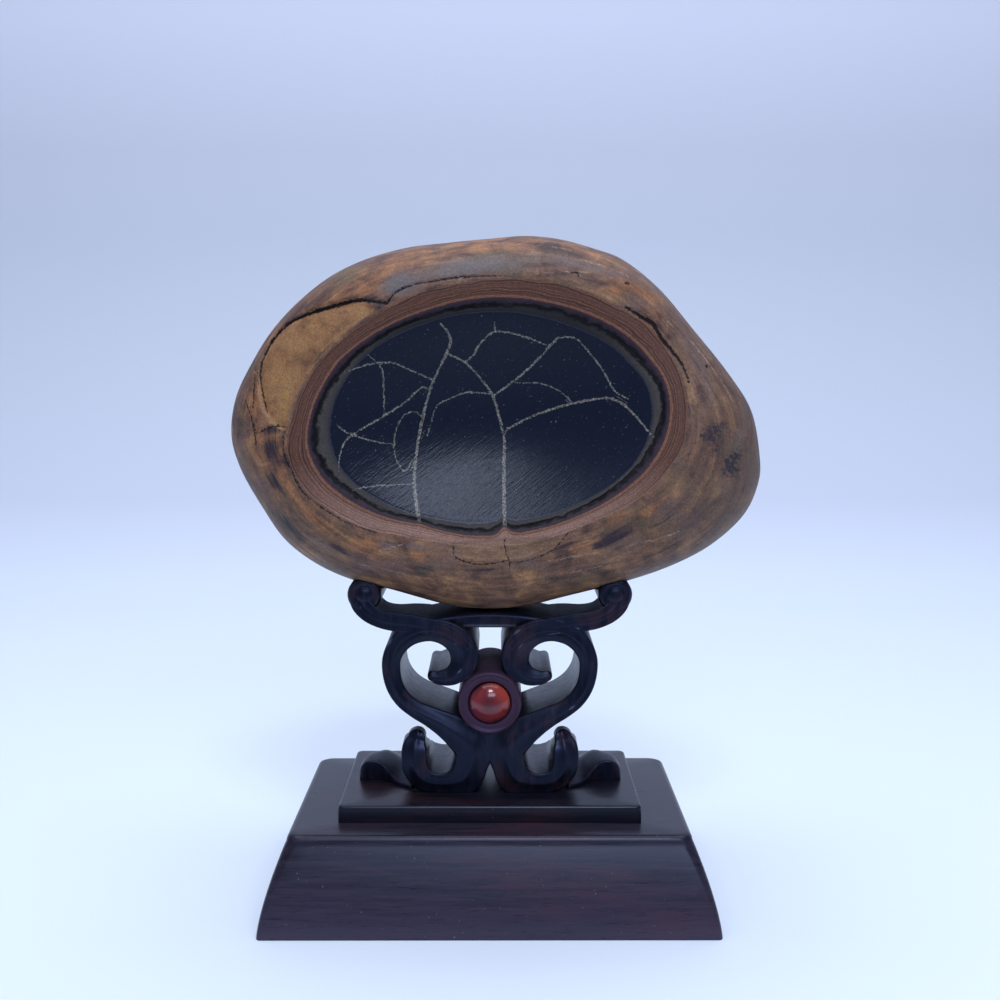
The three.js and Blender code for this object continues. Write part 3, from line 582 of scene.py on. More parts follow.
def banded_ironstone(colours):
    """Banded ironstone, river-worn, with its eye ground and polished. The core is glossy blue-black with
    fine scratches and granular calcite veins; the rings are thin iron-oxide bands; the rind has a satin,
    streaked, rusty skin that follows the outline."""
    material, add = new_material("banded_ironstone_tumbled")
    place = add("TexCoord").outputs["Object"]
    east, _, height = add("SeparateXYZ", (place,)).outputs
    flow = add("Attribute", attribute_name="flow").outputs["Vector"]
    rust, shade, haze_and_sheen = add("SeparateXYZ", (
        add("Attribute", attribute_name="stains_and_sheen").outputs["Vector"],)).outputs
    layer, speckle, patch, flake = (
        add("Attribute", attribute_name=name).outputs["Fac"]
        for name in ("layer", "speckle", "patch", "flake"))
    noise = {
        name: add("TexNoise", {
            "Vector": place, "Scale": per_mm(size), "Detail": detail, "Roughness": roughness,
            "Distortion": distortion})
        for name, (size, detail, roughness, distortion) in STONE_NOISES.items()}

    # The borders of the rings are broken by the grit of the stone, and more so beside the open gap
    shift = add("Math", (noise["grit"], -0.5), operation="ADD")
    fretted = add("Math", (shift, 0.2, layer), operation="MULTIPLY_ADD")
    before_gap = add("MapRange", (layer, 0.2, 0.8))
    behind_gap = add("MapRange", (layer, 1.75, 1.3))
    by_gap = add("Math", (before_gap, behind_gap), operation="MULTIPLY")
    clod_shift = add("MapRange", (noise["clods"], 0.3, 0.7, -0.34, 0.34))
    clod_part = add("Math", (clod_shift, by_gap), operation="MULTIPLY")
    ragged = add("Math", (fretted, clod_part), operation="ADD")

    # Thin lines of the banding: noise that depends on the layer and hardly on the place along it
    wave = add("TexNoise", {"Vector": flow, "Scale": 0.45, "Detail": 2})
    band_place = add("Math", (wave, 0.35, layer), operation="MULTIPLY_ADD")
    lines = add("TexNoise", {
        "W": band_place, "Scale": 11, "Detail": 4, "Roughness": 0.8}, noise_dimensions="1D")
    band_dark = add("ValToRGB", (lines,), [
        (0.3, "#33201d"), (0.42, "#4b2f26"), (0.5, "#5c3b2e"), (0.58, "#6f4b38"), (0.7, "#8a6447")])
    band_painted_lit = add("ValToRGB", (lines,), [
        (0.3, "#6e5048"), (0.45, "#8f6d5e"), (0.55, "#a17d6a"), (0.7, "#b3947c")])
    # Painted light: the banding is made paler low down, where it faces up towards the lamps
    lit_low_down = add("MapRange", (height, 108 * MM, 93 * MM, 0, 0.75))
    band_colour = add("MixRGB", (lit_low_down, band_dark, band_painted_lit))

    # The rings outwards: core, grey ring, black gap, orange lines; the grey ring's upper part, which faces
    # down, is darkened with painted shade
    ring_place = add("MapRange", (ragged, -1, 3))
    ring_colour = add("ValToRGB", (ring_place,), [
        (0.0, colours.core_colour), (0.235, colours.core_colour), (0.25, "#2a3042"), (0.262, "#2b2829"),
        (0.29, "#3c3937"), (0.42, "#47433e"), (0.475, "#262321"), (0.495, "#0a080a"), (0.57, "#0c090e"),
        (0.6, "#241b26"), (0.665, "#35252f"), (0.695, "#4a2a28"), (0.712, "#8d6549"), (0.725, "#5a362e"),
        (0.74, "#94684a"), (0.755, "#624032"), (0.775, "#53352a")])
    # Painted shade: the grey ring is darkened near its top
    high_up = add("MapRange", (height, 129 * MM, 139 * MM, 0, 0.75))
    grey_ends = add("MapRange", (ring_place, 0.5, 0.46))
    grey_starts = add("MapRange", (ring_place, 0.25, 0.28))
    in_grey = add("Math", (grey_ends, grey_starts), operation="MULTIPLY")
    painted_shade_up_top = add("Math", (in_grey, high_up), operation="MULTIPLY")
    in_band = add("MapRange", (fretted, 2.06, 2.16))
    rings = ring_colour
    for share, coat in ((painted_shade_up_top, "#16151a"), (in_band, band_colour)):
        rings = add("MixRGB", (share, rings, coat))

    # Rind: fine brown streaks that run with the outline, in broader soft ones
    fine, broad = (
        add("TexNoise", {
            "Vector": add("Mapping", {"Vector": flow, "Scale": (along, along, across)}), "Scale": 1,
            "Detail": detail, "Roughness": roughness, "Distortion": distortion})
        for along, across, detail, roughness, distortion in (
            (0.5, 1.25, 6, 0.68, 0.5), (0.3, 0.62, 5, 0.6, 0.8)))
    streaked = add("MixRGB", (0.6, fine, broad))
    streak = add("MixRGB", (0.45, streaked, noise["smoke"]))
    streak_colour = add("ValToRGB", (streak,), [
        (0.37, "#2c2327"), (0.42, "#463430"), (0.475, colours.rind_colour), (0.53, "#7d5c46"),
        (0.59, "#97704e"), (0.66, "#b3926f")])

    # Over the streaks lie olive and mauve drifts, grey towards the right end, the stains, a grey haze that is
    # partly painted sheen, and the speckles
    olive, mauve, rusting = add("SeparateColor", (noise["drift"].outputs["Color"],)).outputs
    stray_rust = add("MapRange", (rusting, 0.46, 0.62, 0, 0.32))
    leftward = add("MapRange", (east, 50 * MM, 10 * MM, 0.25))
    kept_rust = add("Math", (stray_rust, leftward), operation="MULTIPLY")
    all_rust = add("Math", (kept_rust, rust), operation="ADD")
    rust_tone = add("MixRGB", (0.5, fine, noise["smoke"]))
    rust_colour = add("ValToRGB", (rust_tone,), [
        (0.37, "#5f4030"), (0.48, "#7d563e"), (0.57, "#9a6c48"), (0.68, "#b28c62")])
    rind = streak_colour
    for share, coat in (
        (add("MapRange", (olive, 0.5, 0.64, 0, 0.5)), "#665a42"),
        (add("MapRange", (mauve, 0.52, 0.66, 0, 0.6)), "#6d5652"),
        (add("MapRange", (east, 38 * MM, 58 * MM, 0, 0.45)), "#5e4e47"),
        (ragged_share(add, all_rust, streak, 3.6, 0.3, 0.85), rust_colour),
        # grey haze, partly painted sheen on the crest
        (ragged_share(add, haze_and_sheen, streak, 1.6, 0.1, 1), "#6d6360"),
        (ragged_share(add, shade, fine, 2.2, 0.3, 0.9), "#362b30"),
        (ragged_share(add, speckle, noise["blots"], 5, 0.72, 1), "#352f35"),
    ):
        rind = add("MixRGB", (share, rind, coat))
    on_rind = add("MapRange", (fretted, 2.96, 3.04))

    # Ochre layer under the flake at the upper left, with darker mottles, and the thin flake below the eye
    ochre = add("ValToRGB", (noise["mottle"],), [
        (0.3, "#684a34"), (0.43, "#876140"), (0.52, colours.ochre_colour), (0.62, "#a0784e"),
        (0.76, "#a6853e")])
    in_patch = ragged_share(add, patch, noise["grit"], 0.5, -0.05, 0.15)
    outside_rings = add("Math", (in_patch, on_rind), operation="MULTIPLY")
    on_flake = add("MapRange", (flake, 0, 0.6, 0, 0.55))
    flake_colour = add("ValToRGB", (fine,), [(0.35, "#6b4f3e"), (0.5, "#86684c"), (0.65, "#9c7c5a")])
    skin = rings
    for share, coat in ((on_rind, rind), (outside_rings, ochre), (on_flake, flake_colour)):
        skin = add("MixRGB", (share, skin, coat))

    # A sandy grain over all but the polished core
    sand_tone = add("MapRange", (noise["sand"], 0.3, 0.7, 0.68, 1.32))
    off_core = add("MapRange", (layer, -0.1, 0.15, 0.12))
    sanded = add("MixRGB", (off_core, skin, sand_tone), blend_type="MULTIPLY")

    # Veins, scratches and cracks, and a few pale specks on the polished core; the cracks, ledges and pits are
    # painted near black as painted shadow
    centred = add("VectorMath", (noise["grain"].outputs["Color"], (0.5, 0.5, 0.5)), operation="SUBTRACT")
    wobble, rough_wobble = (
        add("VectorMath", (centred, amount), operation="MULTIPLY")
        for amount in ((0.7, 0.7, 0.5), (0.9, 0.9, 0.7)))
    vein = stroke_mask(add, "vein", wobble, 0.06, 0.5)
    in_core = add("MapRange", (layer, 1.7, 0.9))
    vein_here = add("Math", (vein, in_core), operation="MULTIPLY")
    vein_colour = add("ValToRGB", (noise["calcite"],), [
        (0.36, "#232226"), (0.46, "#585550"), (0.56, "#827d74"), (0.68, "#aaa394")])
    scratch = stroke_mask(add, "scratch", rough_wobble, 0.12, 0.7)
    scratch_part = add("MapRange", (fine, 0.42, 0.56, 0, 0.6))
    scratch_here = add("Math", (scratch, scratch_part), operation="MULTIPLY")
    # Painted shadow: the cracks, ledges and pits are coloured near black
    crack = stroke_mask(add, "crack", rough_wobble, 0.1, 0.7)
    on_core = add("MapRange", (layer, 0, -0.2))
    speck = add("MapRange", (noise["specks"], 0.68, 0.76, 0, 0.45))
    speck_here = add("Math", (speck, on_core), operation="MULTIPLY")
    colour = sanded
    for share, coat in (
        (vein_here, vein_colour), (scratch_here, "#b09a86"), (crack, "#140d0d"), (speck_here, "#7c8494")):
        colour = add("MixRGB", (share, colour, coat))

    # Gloss: the core is polished, the grey ring is dull, the rind is satin
    gloss = add("ValToRGB", (ring_place,), [
        (0.0, 0.12), (0.24, 0.12), (0.27, 0.6), (0.52, 0.7), (0.6, 0.42), (1.0, 0.42)])
    rough = add("Math", (noise["grit"], 0.22, gloss), operation="MULTIPLY_ADD")

    # Relief: pits and streaks outside the core, and slanting scrapes on it
    slanted = add("Mapping", {
        "Vector": place, "Rotation": (0, math.radians(-38), 0), "Scale": (16, 2, 1)},
        vector_type="TEXTURE")
    scrapes = add("TexNoise", {"Vector": slanted, "Scale": per_mm(0.5), "Detail": 2, "Roughness": 0.6})
    bump_share = add("MapRange", (layer, -0.1, 0.4, 0.1, 1))
    pits_and_streaks = add("Math", (streak, 1.6, noise["pits"]), operation="MULTIPLY_ADD")
    outer_relief = add("Math", (pits_and_streaks, bump_share), operation="MULTIPLY")
    scrapes_here = add("Math", (scrapes, on_core), operation="MULTIPLY")
    relief = add("Math", (scrapes_here, 0.85, outer_relief), operation="MULTIPLY_ADD")
    return finished(material, add, {
        "Base Color": colour, "Roughness": rough, "IOR": 1.55, "Specular IOR Level": 0.25,
        "Normal": add("Bump", {"Height": relief, "Strength": 0.6, "Distance": 0.14 * MM})})


# Carved support, left half; the right half mirrors it. Each row is x, z, width across, and how far the
# front face lies before the middle plane and the back face behind it. The main ribbon runs from the end of
# the curl over the crown, down the flank, under the boss, round the foot and up to the leaf's tip.
S_RIBBON = [
    (-13.9, 55.1, 2.5, 12.2, 12.0), (-12.2, 54.7, 3.3, 12.7, 12.6), (-9.2, 55.3, 4.6, 13, 13),
    (-6.8, 57.5, 6.2, 13, 13), (-6.2, 60.4, 6.9, 13, 13), (-7.4, 63.4, 6.9, 13, 13),
    (-10.6, 65.7, 6.3, 13, 13), (-14.6, 66.5, 5.8, 13, 13), (-18.9, 65.5, 5.5, 13, 13),
    (-22.0, 63.0, 5.0, 13, 13), (-23.7, 59.6, 4.5, 13, 13), (-23.8, 56.0, 4.3, 13, 13),
    (-22.9, 52.4, 4.1, 13, 13), (-20.9, 49.3, 4.0, 13, 13), (-17.9, 46.9, 4.1, 13, 13),
    (-14.5, 45.1, 4.8, 13, 13), (-10.8, 43.0, 6.2, 13, 13), (-6.9, 40.3, 8.2, 13, 13),
    (-4.0, 37.2, 9.6, 13, 13), (-4.6, 33.0, 8.3, 13, 13), (-6.5, 29.5, 8.6, 13, 13),
    (-11.0, 28.4, 5.4, 13, 13), (-15.5, 28.9, 5.8, 12.8, 12.8), (-18.1, 31.6, 6.3, 12.6, 10),
    (-18.6, 34.8, 6.3, 12.3, 4.5), (-18.4, 37.3, 5.9, 11.7, -1.5), (-18.0, 39.0, 4.4, 10.6, -4.8),
]
# The arm runs from the bulb in along the cradle, along the crown's outer edge and down to the boss.
ARM_RIBBON = [
    (-31.9, 74.8, 4.4, 11.6, 11.0), (-31.0, 72.6, 4.8, 11.8, 11.2), (-29.2, 70.7, 4.6, 12.2, 11.6),
    (-26.6, 69.4, 4.5, 12.6, 12.0), (-23.4, 68.7, 4.6, 13, 12.4), (-19.4, 68.3, 4.4, 13, 12.6),
    (-14.7, 67.5, 4.0, 13, 12.6), (-10.9, 66.7, 3.6, 13, 12.6), (-7.9, 65.0, 3.2, 13, 12.6),
    (-5.5, 62.3, 2.8, 13, 12.6),
]
# The hollow scooped along the top of both arms, behind their front ridge. Each row is x, the height of the
# ridge in front, of the hollow half way back, and of the back edge.
TROUGH = [
    (-28.4, 73.4, 71.0, 70.6), (-26.6, 71.5, 69.3, 68.9), (-23.5, 70.9, 68.7, 68.2),
    (-18.8, 70.3, 68.6, 68.4), (-13.9, 69.5, 68.1, 67.9), (-9.5, 68.1, 67.1, 67.0), (0, 67.6, 66.9, 66.9),
]
TROUGH_FRONT = -12.3  # it is cut between these planes, and nearly level between the middle two
TROUGH_BEND = -10.7
TROUGH_MIDDLE = (-4, 5)
TROUGH_BACK = 15.0
TROUGH_TOP = 82.0
TROUGH_RADII = (0.3, 1.4, 3.0, 3.0, 0.5, 0.5, 0.5)
# The low outer leaf, from its tip in to the foot. Each row is x, the front foot's y, the front ridge's y
# and z, the hump's y and z, and the back's y.
OUTER_LEAF = [
    (-33.0, -1.1, -1.3, 27.2, 0.8, 27.4, 2.4), (-32.5, -1.9, -2.3, 29.5, 1.2, 29.8, 4.0),
    (-30.7, -2.2, -2.9, 31.0, 2.4, 31.4, 6.0), (-28.2, -2.1, -2.9, 31.0, 4.0, 31.9, 7.8),
    (-26.4, -2.4, -3.4, 29.8, 4.8, 31.9, 8.8), (-24.6, -4.2, -4.9, 28.2, 4.8, 31.2, 9.2),
    (-22.6, -6.6, -6.9, 27.0, 4.0, 30.2, 9.6), (-19.5, -8.6, -8.9, 26.7, 3.0, 29.8, 9.6),
]
LEAF_FLOOR = 24.0  # the leaf starts at this level, and what lies below SCROLL_FOOT is cut away
LEAF_SWELL = 0.25  # between its ridge and its hump
LEAF_BACK_FALL = 1.8  # from the hump to the back, which leans out again by the next value
LEAF_BACK_LEAN = 0.3
LEAF_RADII = (0.1, 0.55, 3.0, 3.0, 2.0, 0.1)
RIBBON_STEPS = 6
RIBBON_RADII = (1.3, 1.6, 0.35, 1.6, 0.5, 0.6, 0.5, 1.3)  # rounding of the corners of its section
END_TURNS = np.radians([88, 76, 62, 46, 30, 15])  # a ribbon's end is rounded over in these steps
END_SOFTENING = 1.5  # and its faces fall in by up to this much there
INNER_SLOPE = 1.3  # the front falls back this far from its middle ridge to the inside of the curl
HOLLOW = 0.22  # and is scraped this much hollow on both sides of the ridge
ARM_BACK_DROP = 1.0
CLEARANCE = 0.3
SCROLL_FOOT = 26.1
BULB_PLACE = (30.3, 74.9)
BOSS_HEIGHT = 48.9
BOSS_RADIUS = 7.75
COLLAR_RADIUS = 8.9
COLLAR_FLOOR = -12.35  # the legs are cut back to this plane round the boss
# Blocks of the cradle: half width, half depth, bottom, top and the rounding of the long edges
WEB = (2.5, 11.9, 36.5, 43, 0.3)
SADDLE = (18, 10.4, 66.6, 70.4, 1.2)
SADDLE_DROP = 2.4
BELOW = (60, 40, 0, SCROLL_FOOT, 0.1)
FINE_COLUMNS = 96  # of the larger turned parts
# Turned parts of the cradle: radius and y
DRUM_PROFILE = [
    (0, -12.9), (5.15, -12.9), (5.2, -13.3), (5.4, -13.5), (5.9, -13.42), (6.6, -13.5), (6.95, -13.75),
    (7.15, -13.85), (7.4, -13.75), (7.62, -13.45), (BOSS_RADIUS, -13.0), (BOSS_RADIUS, 12.9), (7.65, 13.4),
    (7.3, 13.8), (6.8, 14.0), (0, 14.0),
]
SEAT_PROFILE = [(0, -16), (5.1, -16), (5.1, -10.8), (0, -10.8)]
COLLAR_PROFILE = [(0, -16), (COLLAR_RADIUS, -16), (COLLAR_RADIUS, COLLAR_FLOOR), (0, COLLAR_FLOOR)]
BULB_PROFILE = [
    (0, -12.1), (0.9, -12.05), (1.4, -11.9), (1.8, -11.65), (2.1, -11.5), (2.5, -11.55), (3.0, -11.8),
    (3.4, -11.8), (3.8, -11.5), (4.05, -11.0), (4.15, -10.3), (4.15, 9.6), (4.05, 10.3), (3.8, 10.8),
    (3.4, 11.1), (3.0, 11.2), (1.5, 11.3), (0, 11.3),
]


def polygons(count, *corners):
    """Section polygons (count, corners, 2) from a pair of coordinates for each corner, which are numbers or
    arrays with one value for each section."""
    return np.stack([
        np.stack([np.broadcast_to(part, count) for part in pair], -1) for pair in corners], axis=1)


def rounded_sections(corners, radii, steps=5):
    """Polygons (rings, corners, 2) with each corner replaced by a parabola that starts and ends one radius
    from it, or at most at 0.45 of the shorter side beside it."""
    before = np.roll(corners, 1, axis=1) - corners
    after = np.roll(corners, -1, axis=1) - corners
    before_length = np.linalg.norm(before, axis=-1, keepdims=True)
    after_length = np.linalg.norm(after, axis=-1, keepdims=True)
    reach = np.minimum(np.asarray(radii)[None, :, None], 0.45 * np.minimum(before_length, after_length))
    start = corners + before / before_length * reach
    end = corners + after / after_length * reach
    t = np.linspace(0, 1, steps + 1)[None, None, :, None]
    start, middle, end = (part[:, :, None] for part in (start, corners, end))
    arcs = (1 - t) ** 2 * start + 2 * t * (1 - t) * middle + t ** 2 * end
    return arcs.reshape(len(corners), -1, 2)


def along_x(name, stops, corners, radii):
    """Solid from a polygon in y and z for each stop along X, with its corners rounded."""
    section = rounded_sections(corners, radii)
    return closed_skin(name, np.dstack([np.broadcast_to(stops[:, None], section.shape[:2]), section]))


def ribbon(name, rows, side, inner_slope=0.0, back_drop=0.0):
    """Carved ribbon: a section carried along the rows. Its front has a ridge along the middle with a hollow
    on either side, and falls back from the ridge towards the inside of the curl. The ends are rounded."""
    path = smooth(rows, RIBBON_STEPS)
    along = np.gradient(path[:, :2], axis=0)
    along /= np.linalg.norm(along, axis=1, keepdims=True)
    for end, way in ((0, -1), (-1, 1)):
        reach = path[end, 2] / 2
        soften = END_SOFTENING * (1 - np.cos(END_TURNS))
        ends = np.column_stack([
            path[end, :2] + way * along[end] * reach * np.sin(END_TURNS)[:, None],
            path[end, 2] * np.cos(END_TURNS), path[end, 3] - soften, path[end, 4] - soften])
        tangents = np.repeat(along[end][None], len(END_TURNS), axis=0)
        if end == 0:
            path, along = np.vstack([ends, path]), np.vstack([tangents, along])
        else:
            path, along = np.vstack([path, ends[::-1]]), np.vstack([along, tangents])
    x, z, width, front, back = path.T
    half = width / 2
    fall = np.minimum(inner_slope, 0.3 * width)
    drop = np.minimum(back_drop, 0.5 * width)
    hollow = np.minimum(HOLLOW, 0.06 * width)
    corners = polygons(
        len(path), (-half, -front), (-half / 2, -front + hollow), (0, -front),
        (half / 2, -front + fall / 2 + hollow), (half, -front + fall), (half - drop, back - fall),
        (-0.5 * drop, back), (-half, back))
    section = rounded_sections(corners, RIBBON_RADII)
    across = np.stack([-along[:, 1], along[:, 0]], -1)
    u, y = section[..., 0], section[..., 1]
    rings = np.stack([
        side * (x[:, None] + u * across[:, :1]), y, z[:, None] + u * across[:, 1:]], -1)
    return closed_skin(name, rings)


def mound(name, rows, side):
    """Low leaf: a section with a sharp ridge in front and a round hump behind it, carried along X."""
    x, foot_y, ridge_y, ridge_z, top_y, top_z, back_y = smooth(rows, RIBBON_STEPS).T
    corners = polygons(
        len(x), (foot_y, LEAF_FLOOR), (ridge_y, ridge_z),
        ((ridge_y + top_y) / 2, (ridge_z + top_z) / 2 + LEAF_SWELL), (top_y, top_z),
        (back_y, top_z - LEAF_BACK_FALL), (back_y + LEAF_BACK_LEAN, LEAF_FLOOR))
    return along_x(name, side * x, corners, LEAF_RADII)


def trough(name):
    """What is scooped out over both arms: all above a hollow section, carried along X and mirrored."""
    half = smooth(TROUGH, RIBBON_STEPS)
    x, front, middle, back = np.vstack([half, half[-2::-1] * (-1, 1, 1, 1)]).T
    corners = polygons(
        len(x), (TROUGH_FRONT, front), (TROUGH_BEND, front - 0.7 * (front - middle)),
        (TROUGH_MIDDLE[0], middle), (TROUGH_MIDDLE[1], middle - 0.1), (TROUGH_BACK, back),
        (TROUGH_BACK, TROUGH_TOP), (TROUGH_FRONT, TROUGH_TOP))
    return along_x(name, x, corners, TROUGH_RADII)


def turned(name, profile, x, z, columns=72):
    """Turned shape: a profile of radius and y carried round a line along Y at (x, z)."""
    profile = np.asarray(profile, float)
    turn = np.arange(columns) / columns * 2 * math.pi
    radius = np.maximum(profile[:, :1], 0.02)
    rings = np.stack([
        x + radius * np.cos(turn), np.repeat(profile[:, 1:], columns, axis=1), z + radius * np.sin(turn)], -1)
    return closed_skin(name, rings)


def block(name, half_width, half_depth, bottom, top, soft, drop=0.0, count=9):
    """Block on the middle plane with its long edges rounded: a rectangle carried along X, whose top falls
    by the drop to both ends."""
    stops = np.linspace(-half_width, half_width, count)
    crest = top - drop * (stops / half_width) ** 2
    corners = polygons(
        count, (-half_depth, bottom), (half_depth, bottom), (half_depth, crest), (-half_depth, crest))
    return along_x(name, stops, corners, [soft] * 4)


def joined(name, first, *steps):
    """One solid from several: each step is an operation and the solids that are added or taken away in it,
    by boolean modifiers that are worked out at once and kept as plain mesh."""
    for operation, tools in steps:
        for tool in tools:
            step = first.modifiers.new(operation, "BOOLEAN")
            step.operation = operation
            step.solver = "MANIFOLD"
            step.object = tool
    bpy.context.view_layer.update()
    mesh = bpy.data.meshes.new_from_object(first.evaluated_get(bpy.context.evaluated_depsgraph_get()))
    mesh.name = name
    for spare in [first] + [tool for _, tools in steps for tool in tools]:
        bpy.data.objects.remove(spare)
    return shown(name, mesh, HARD_ANGLE)


def grown_stone(shape, distance):
    """The stone's surface moved outwards along its normals, to cut its bed into the cradle."""
    rings, _ = stone_rings(shape)
    piece = closed_skin("stone_bed", rings[::3, ::4])
    mesh = piece.data
    places = np.empty(len(mesh.vertices) * 3, np.float32)
    normals = np.empty_like(places)
    mesh.vertices.foreach_get("co", places)
    mesh.vertex_normals.foreach_get("vector", normals)
    mesh.vertices.foreach_set("co", places + distance * MM * normals)
    mesh.update()
    return piece


def carved_blackwood(stand):
    """Blackwood, carved, scraped and waxed: near black with a blue sheen, reddish where the wax has worn
    thin, and paler on the ridges, a painted highlight along them."""
    material, add = new_material("blackwood_carved_waxed")
    coordinates = add("TexCoord").outputs
    place = coordinates["Object"]
    east, _, height = add("SeparateXYZ", (place,)).outputs
    upright = add("Mapping", {"Vector": place, "Scale": (1, 1, 0.12)})
    streak = add("TexNoise", {
        "Vector": upright, "Scale": per_mm(1.6), "Detail": 6, "Roughness": 0.65, "Distortion": 0.4})
    pores = add("TexNoise", {"Vector": upright, "Scale": per_mm(0.35), "Detail": 3, "Roughness": 0.7})
    clouds = add("TexNoise", {"Vector": place, "Scale": per_mm(9), "Detail": 3})
    wood = add("ValToRGB", (streak,), [
        (0.3, "#05060a"), (0.46, stand.carved_colour), (0.6, "#10111a"), (0.75, "#1d1d29")])

    # Paler colour on the ridges is a painted highlight, left off the rims of the bulbs' faces and of the boss
    painted_ridge_highlight = add("MapRange", (add("NewGeometry").outputs["Pointiness"], 0.54, 0.64))
    aside = add("Math", (east,), operation="ABSOLUTE")
    sideways = add("CombineXYZ", (aside, 0, height))
    from_bulb, from_boss = (
        add("VectorMath", (sideways, (x * MM, 0, z * MM)), operation="DISTANCE").outputs["Value"]
        for x, z in (BULB_PLACE, (0, BOSS_HEIGHT)))
    for away, radius in ((from_bulb, 3.2), (from_boss, 6.8)):
        clear = add("MapRange", (away, (radius - 0.8) * MM, radius * MM))
        painted_ridge_highlight = add("Math", (painted_ridge_highlight, clear), operation="MULTIPLY")
    colour = wood
    for share, coat in (
        (ragged_share(add, clouds, streak, 0.7, 0.5, 0.68), "#26181a"),
        (add("MapRange", (pores, 0.6, 0.7)), "#040406"),
        (add("MapRange", (from_boss, 8.4 * MM, 7.6 * MM, 0, 0.7)), "#432a38"),
        # painted highlight along the ridges
        (add("Math", (painted_ridge_highlight, pores), operation="MULTIPLY"), "#6a6878"),
    ):
        colour = add("MixRGB", (share, colour, coat))

    # Under the stone and on the drum, where no cloth reached, the wood is left rough
    under_stone = add("MapRange", (height, 62 * MM, 66 * MM))
    on_drum = add("MapRange", (aside, 9.5 * MM, 8 * MM))
    out_of_reach = add("Math", (under_stone, on_drum), operation="MAXIMUM")
    upward = add("MapRange", (add("SeparateXYZ", (coordinates["Normal"],)).outputs["Z"], 0.35, 0.75))
    unpolished = add("Math", (out_of_reach, upward), operation="MULTIPLY")
    satin = add("MapRange", (streak, 0.3, 0.7, 0.28, 0.44))
    rough = add("Math", (unpolished, 0.5, satin), operation="MULTIPLY_ADD")
    relief = add("Math", (pores, streak), operation="ADD")
    return finished(material, add, {
        "Base Color": colour, "Roughness": rough, "IOR": 1.5, "Specular IOR Level": 0.48,
        "Specular Tint": "#a9bcf0",
        "Normal": add("Bump", {"Height": relief, "Strength": 0.25, "Distance": 0.1 * MM})})


def planed_blackwood(name, dark, light, red):
    """Blackwood, planed and waxed: purple-black with fine level grain that turns maroon in places, tiny pale
    specks of dust, paler towards the foot as a painted reflection of the bright floor, and a bright soft
    shine on the upper faces."""
    material, add = new_material(name)
    place = add("TexCoord").outputs["Object"]
    height = add("SeparateXYZ", (place,)).outputs["Z"]
    level = add("Mapping", {"Vector": place, "Scale": (0.06, 1, 1)})
    stretched = add("Mapping", {"Vector": place, "Scale": (0.35, 1, 1)})
    streak, pores, clouds, dust = (
        add("TexNoise", {"Vector": vector, "Scale": per_mm(size), "Detail": detail, "Roughness": roughness})
        for vector, size, detail, roughness in (
            (level, 1.3, 8, 0.72), (level, 0.28, 3, 0.7), (stretched, 14, 5, 0.6), (place, 0.5, 1, 0.4)))
    colour = add("MixRGB", (add("MapRange", (streak, 0.32, 0.68)), dark, light))
    for share, coat in (
        (ragged_share(add, clouds, streak, 0.6, 0.5, 0.74), red),
        # Painted reflection: the wood is made paler towards the foot, where it faces the bright floor
        (add("MapRange", (height, 17 * MM, 0, 0, 0.55)), "#463d4e"),
        (add("MapRange", (pores, 0.58, 0.7, 0, 0.65)), "#0c0a10"),
        (add("MapRange", (dust, 0.78, 0.81, 0, 0.5)), "#9a98a4"),
    ):
        colour = add("MixRGB", (share, colour, coat))
    relief = add("Math", (pores, streak), operation="ADD")
    return finished(material, add, {
        "Base Color": colour, "Roughness": add("MapRange", (streak, 0.3, 0.7, 0.26, 0.36)), "IOR": 1.5,
        "Specular IOR Level": 0.4, "Specular Tint": "#d0d8f2",
        "Normal": add("Bump", {"Height": relief, "Strength": 0.12, "Distance": 0.06 * MM})})


def red_agate(stand):
    """Red agate, cut as a cabochon and polished: glassy and clouded, darker where it is thick, with a painted
    orange glint at its upper right and a painted purplish reflection at its lower left."""
    material, add = new_material("red_agate_polished")
    place = add("TexCoord").outputs["Object"]
    centred = add("VectorMath", (place, (0, 0, BOSS_HEIGHT * MM)), operation="SUBTRACT")
    x, _, z = add("SeparateXYZ", (centred,)).outputs
    flat = add("CombineXYZ", (x, 0, z))
    radius = add("VectorMath", (flat,), operation="LENGTH").outputs["Value"]
    cloud = add("TexNoise", {"Vector": place, "Scale": per_mm(2.4), "Detail": 4})
    spread = add("Math", (cloud, 3 * MM, radius), operation="MULTIPLY_ADD")
    colour = add("ValToRGB", (add("MapRange", (spread, 1.2 * MM, 6.4 * MM)),), [
        (0.05, "#541a1e"), (0.4, stand.bead_colour), (0.75, "#842c2c"), (1.0, "#4c181c")])
    # Painted light: an orange glint at the upper right and a purplish reflection at the lower left
    painted_glint_side = add("VectorMath", (flat, (0.8, 0, 0.6)), operation="DOT_PRODUCT").outputs["Value"]
    for share, coat in (
        (add("MapRange", (painted_glint_side, 1.8 * MM, 4 * MM)), "#a03a2c"),
        (add("MapRange", (painted_glint_side, -1.8 * MM, -4 * MM, 0, 0.7)), "#6e2a3a"),
    ):
        colour = add("MixRGB", (share, colour, coat))
    return finished(material, add, {
        "Base Color": colour, "Roughness": 0.17, "IOR": 1.54, "Subsurface Weight": 0.2,
        "Subsurface Radius": (1, 0.3, 0.2), "Subsurface Scale": 0.8 * MM})


def dress(piece, material, node):
    """Give a finished piece its material, and let it stand for its node on the one body."""
    piece.data.materials.clear()
    piece.data.materials.append(material)
    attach(piece, BODY)
    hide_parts(node)


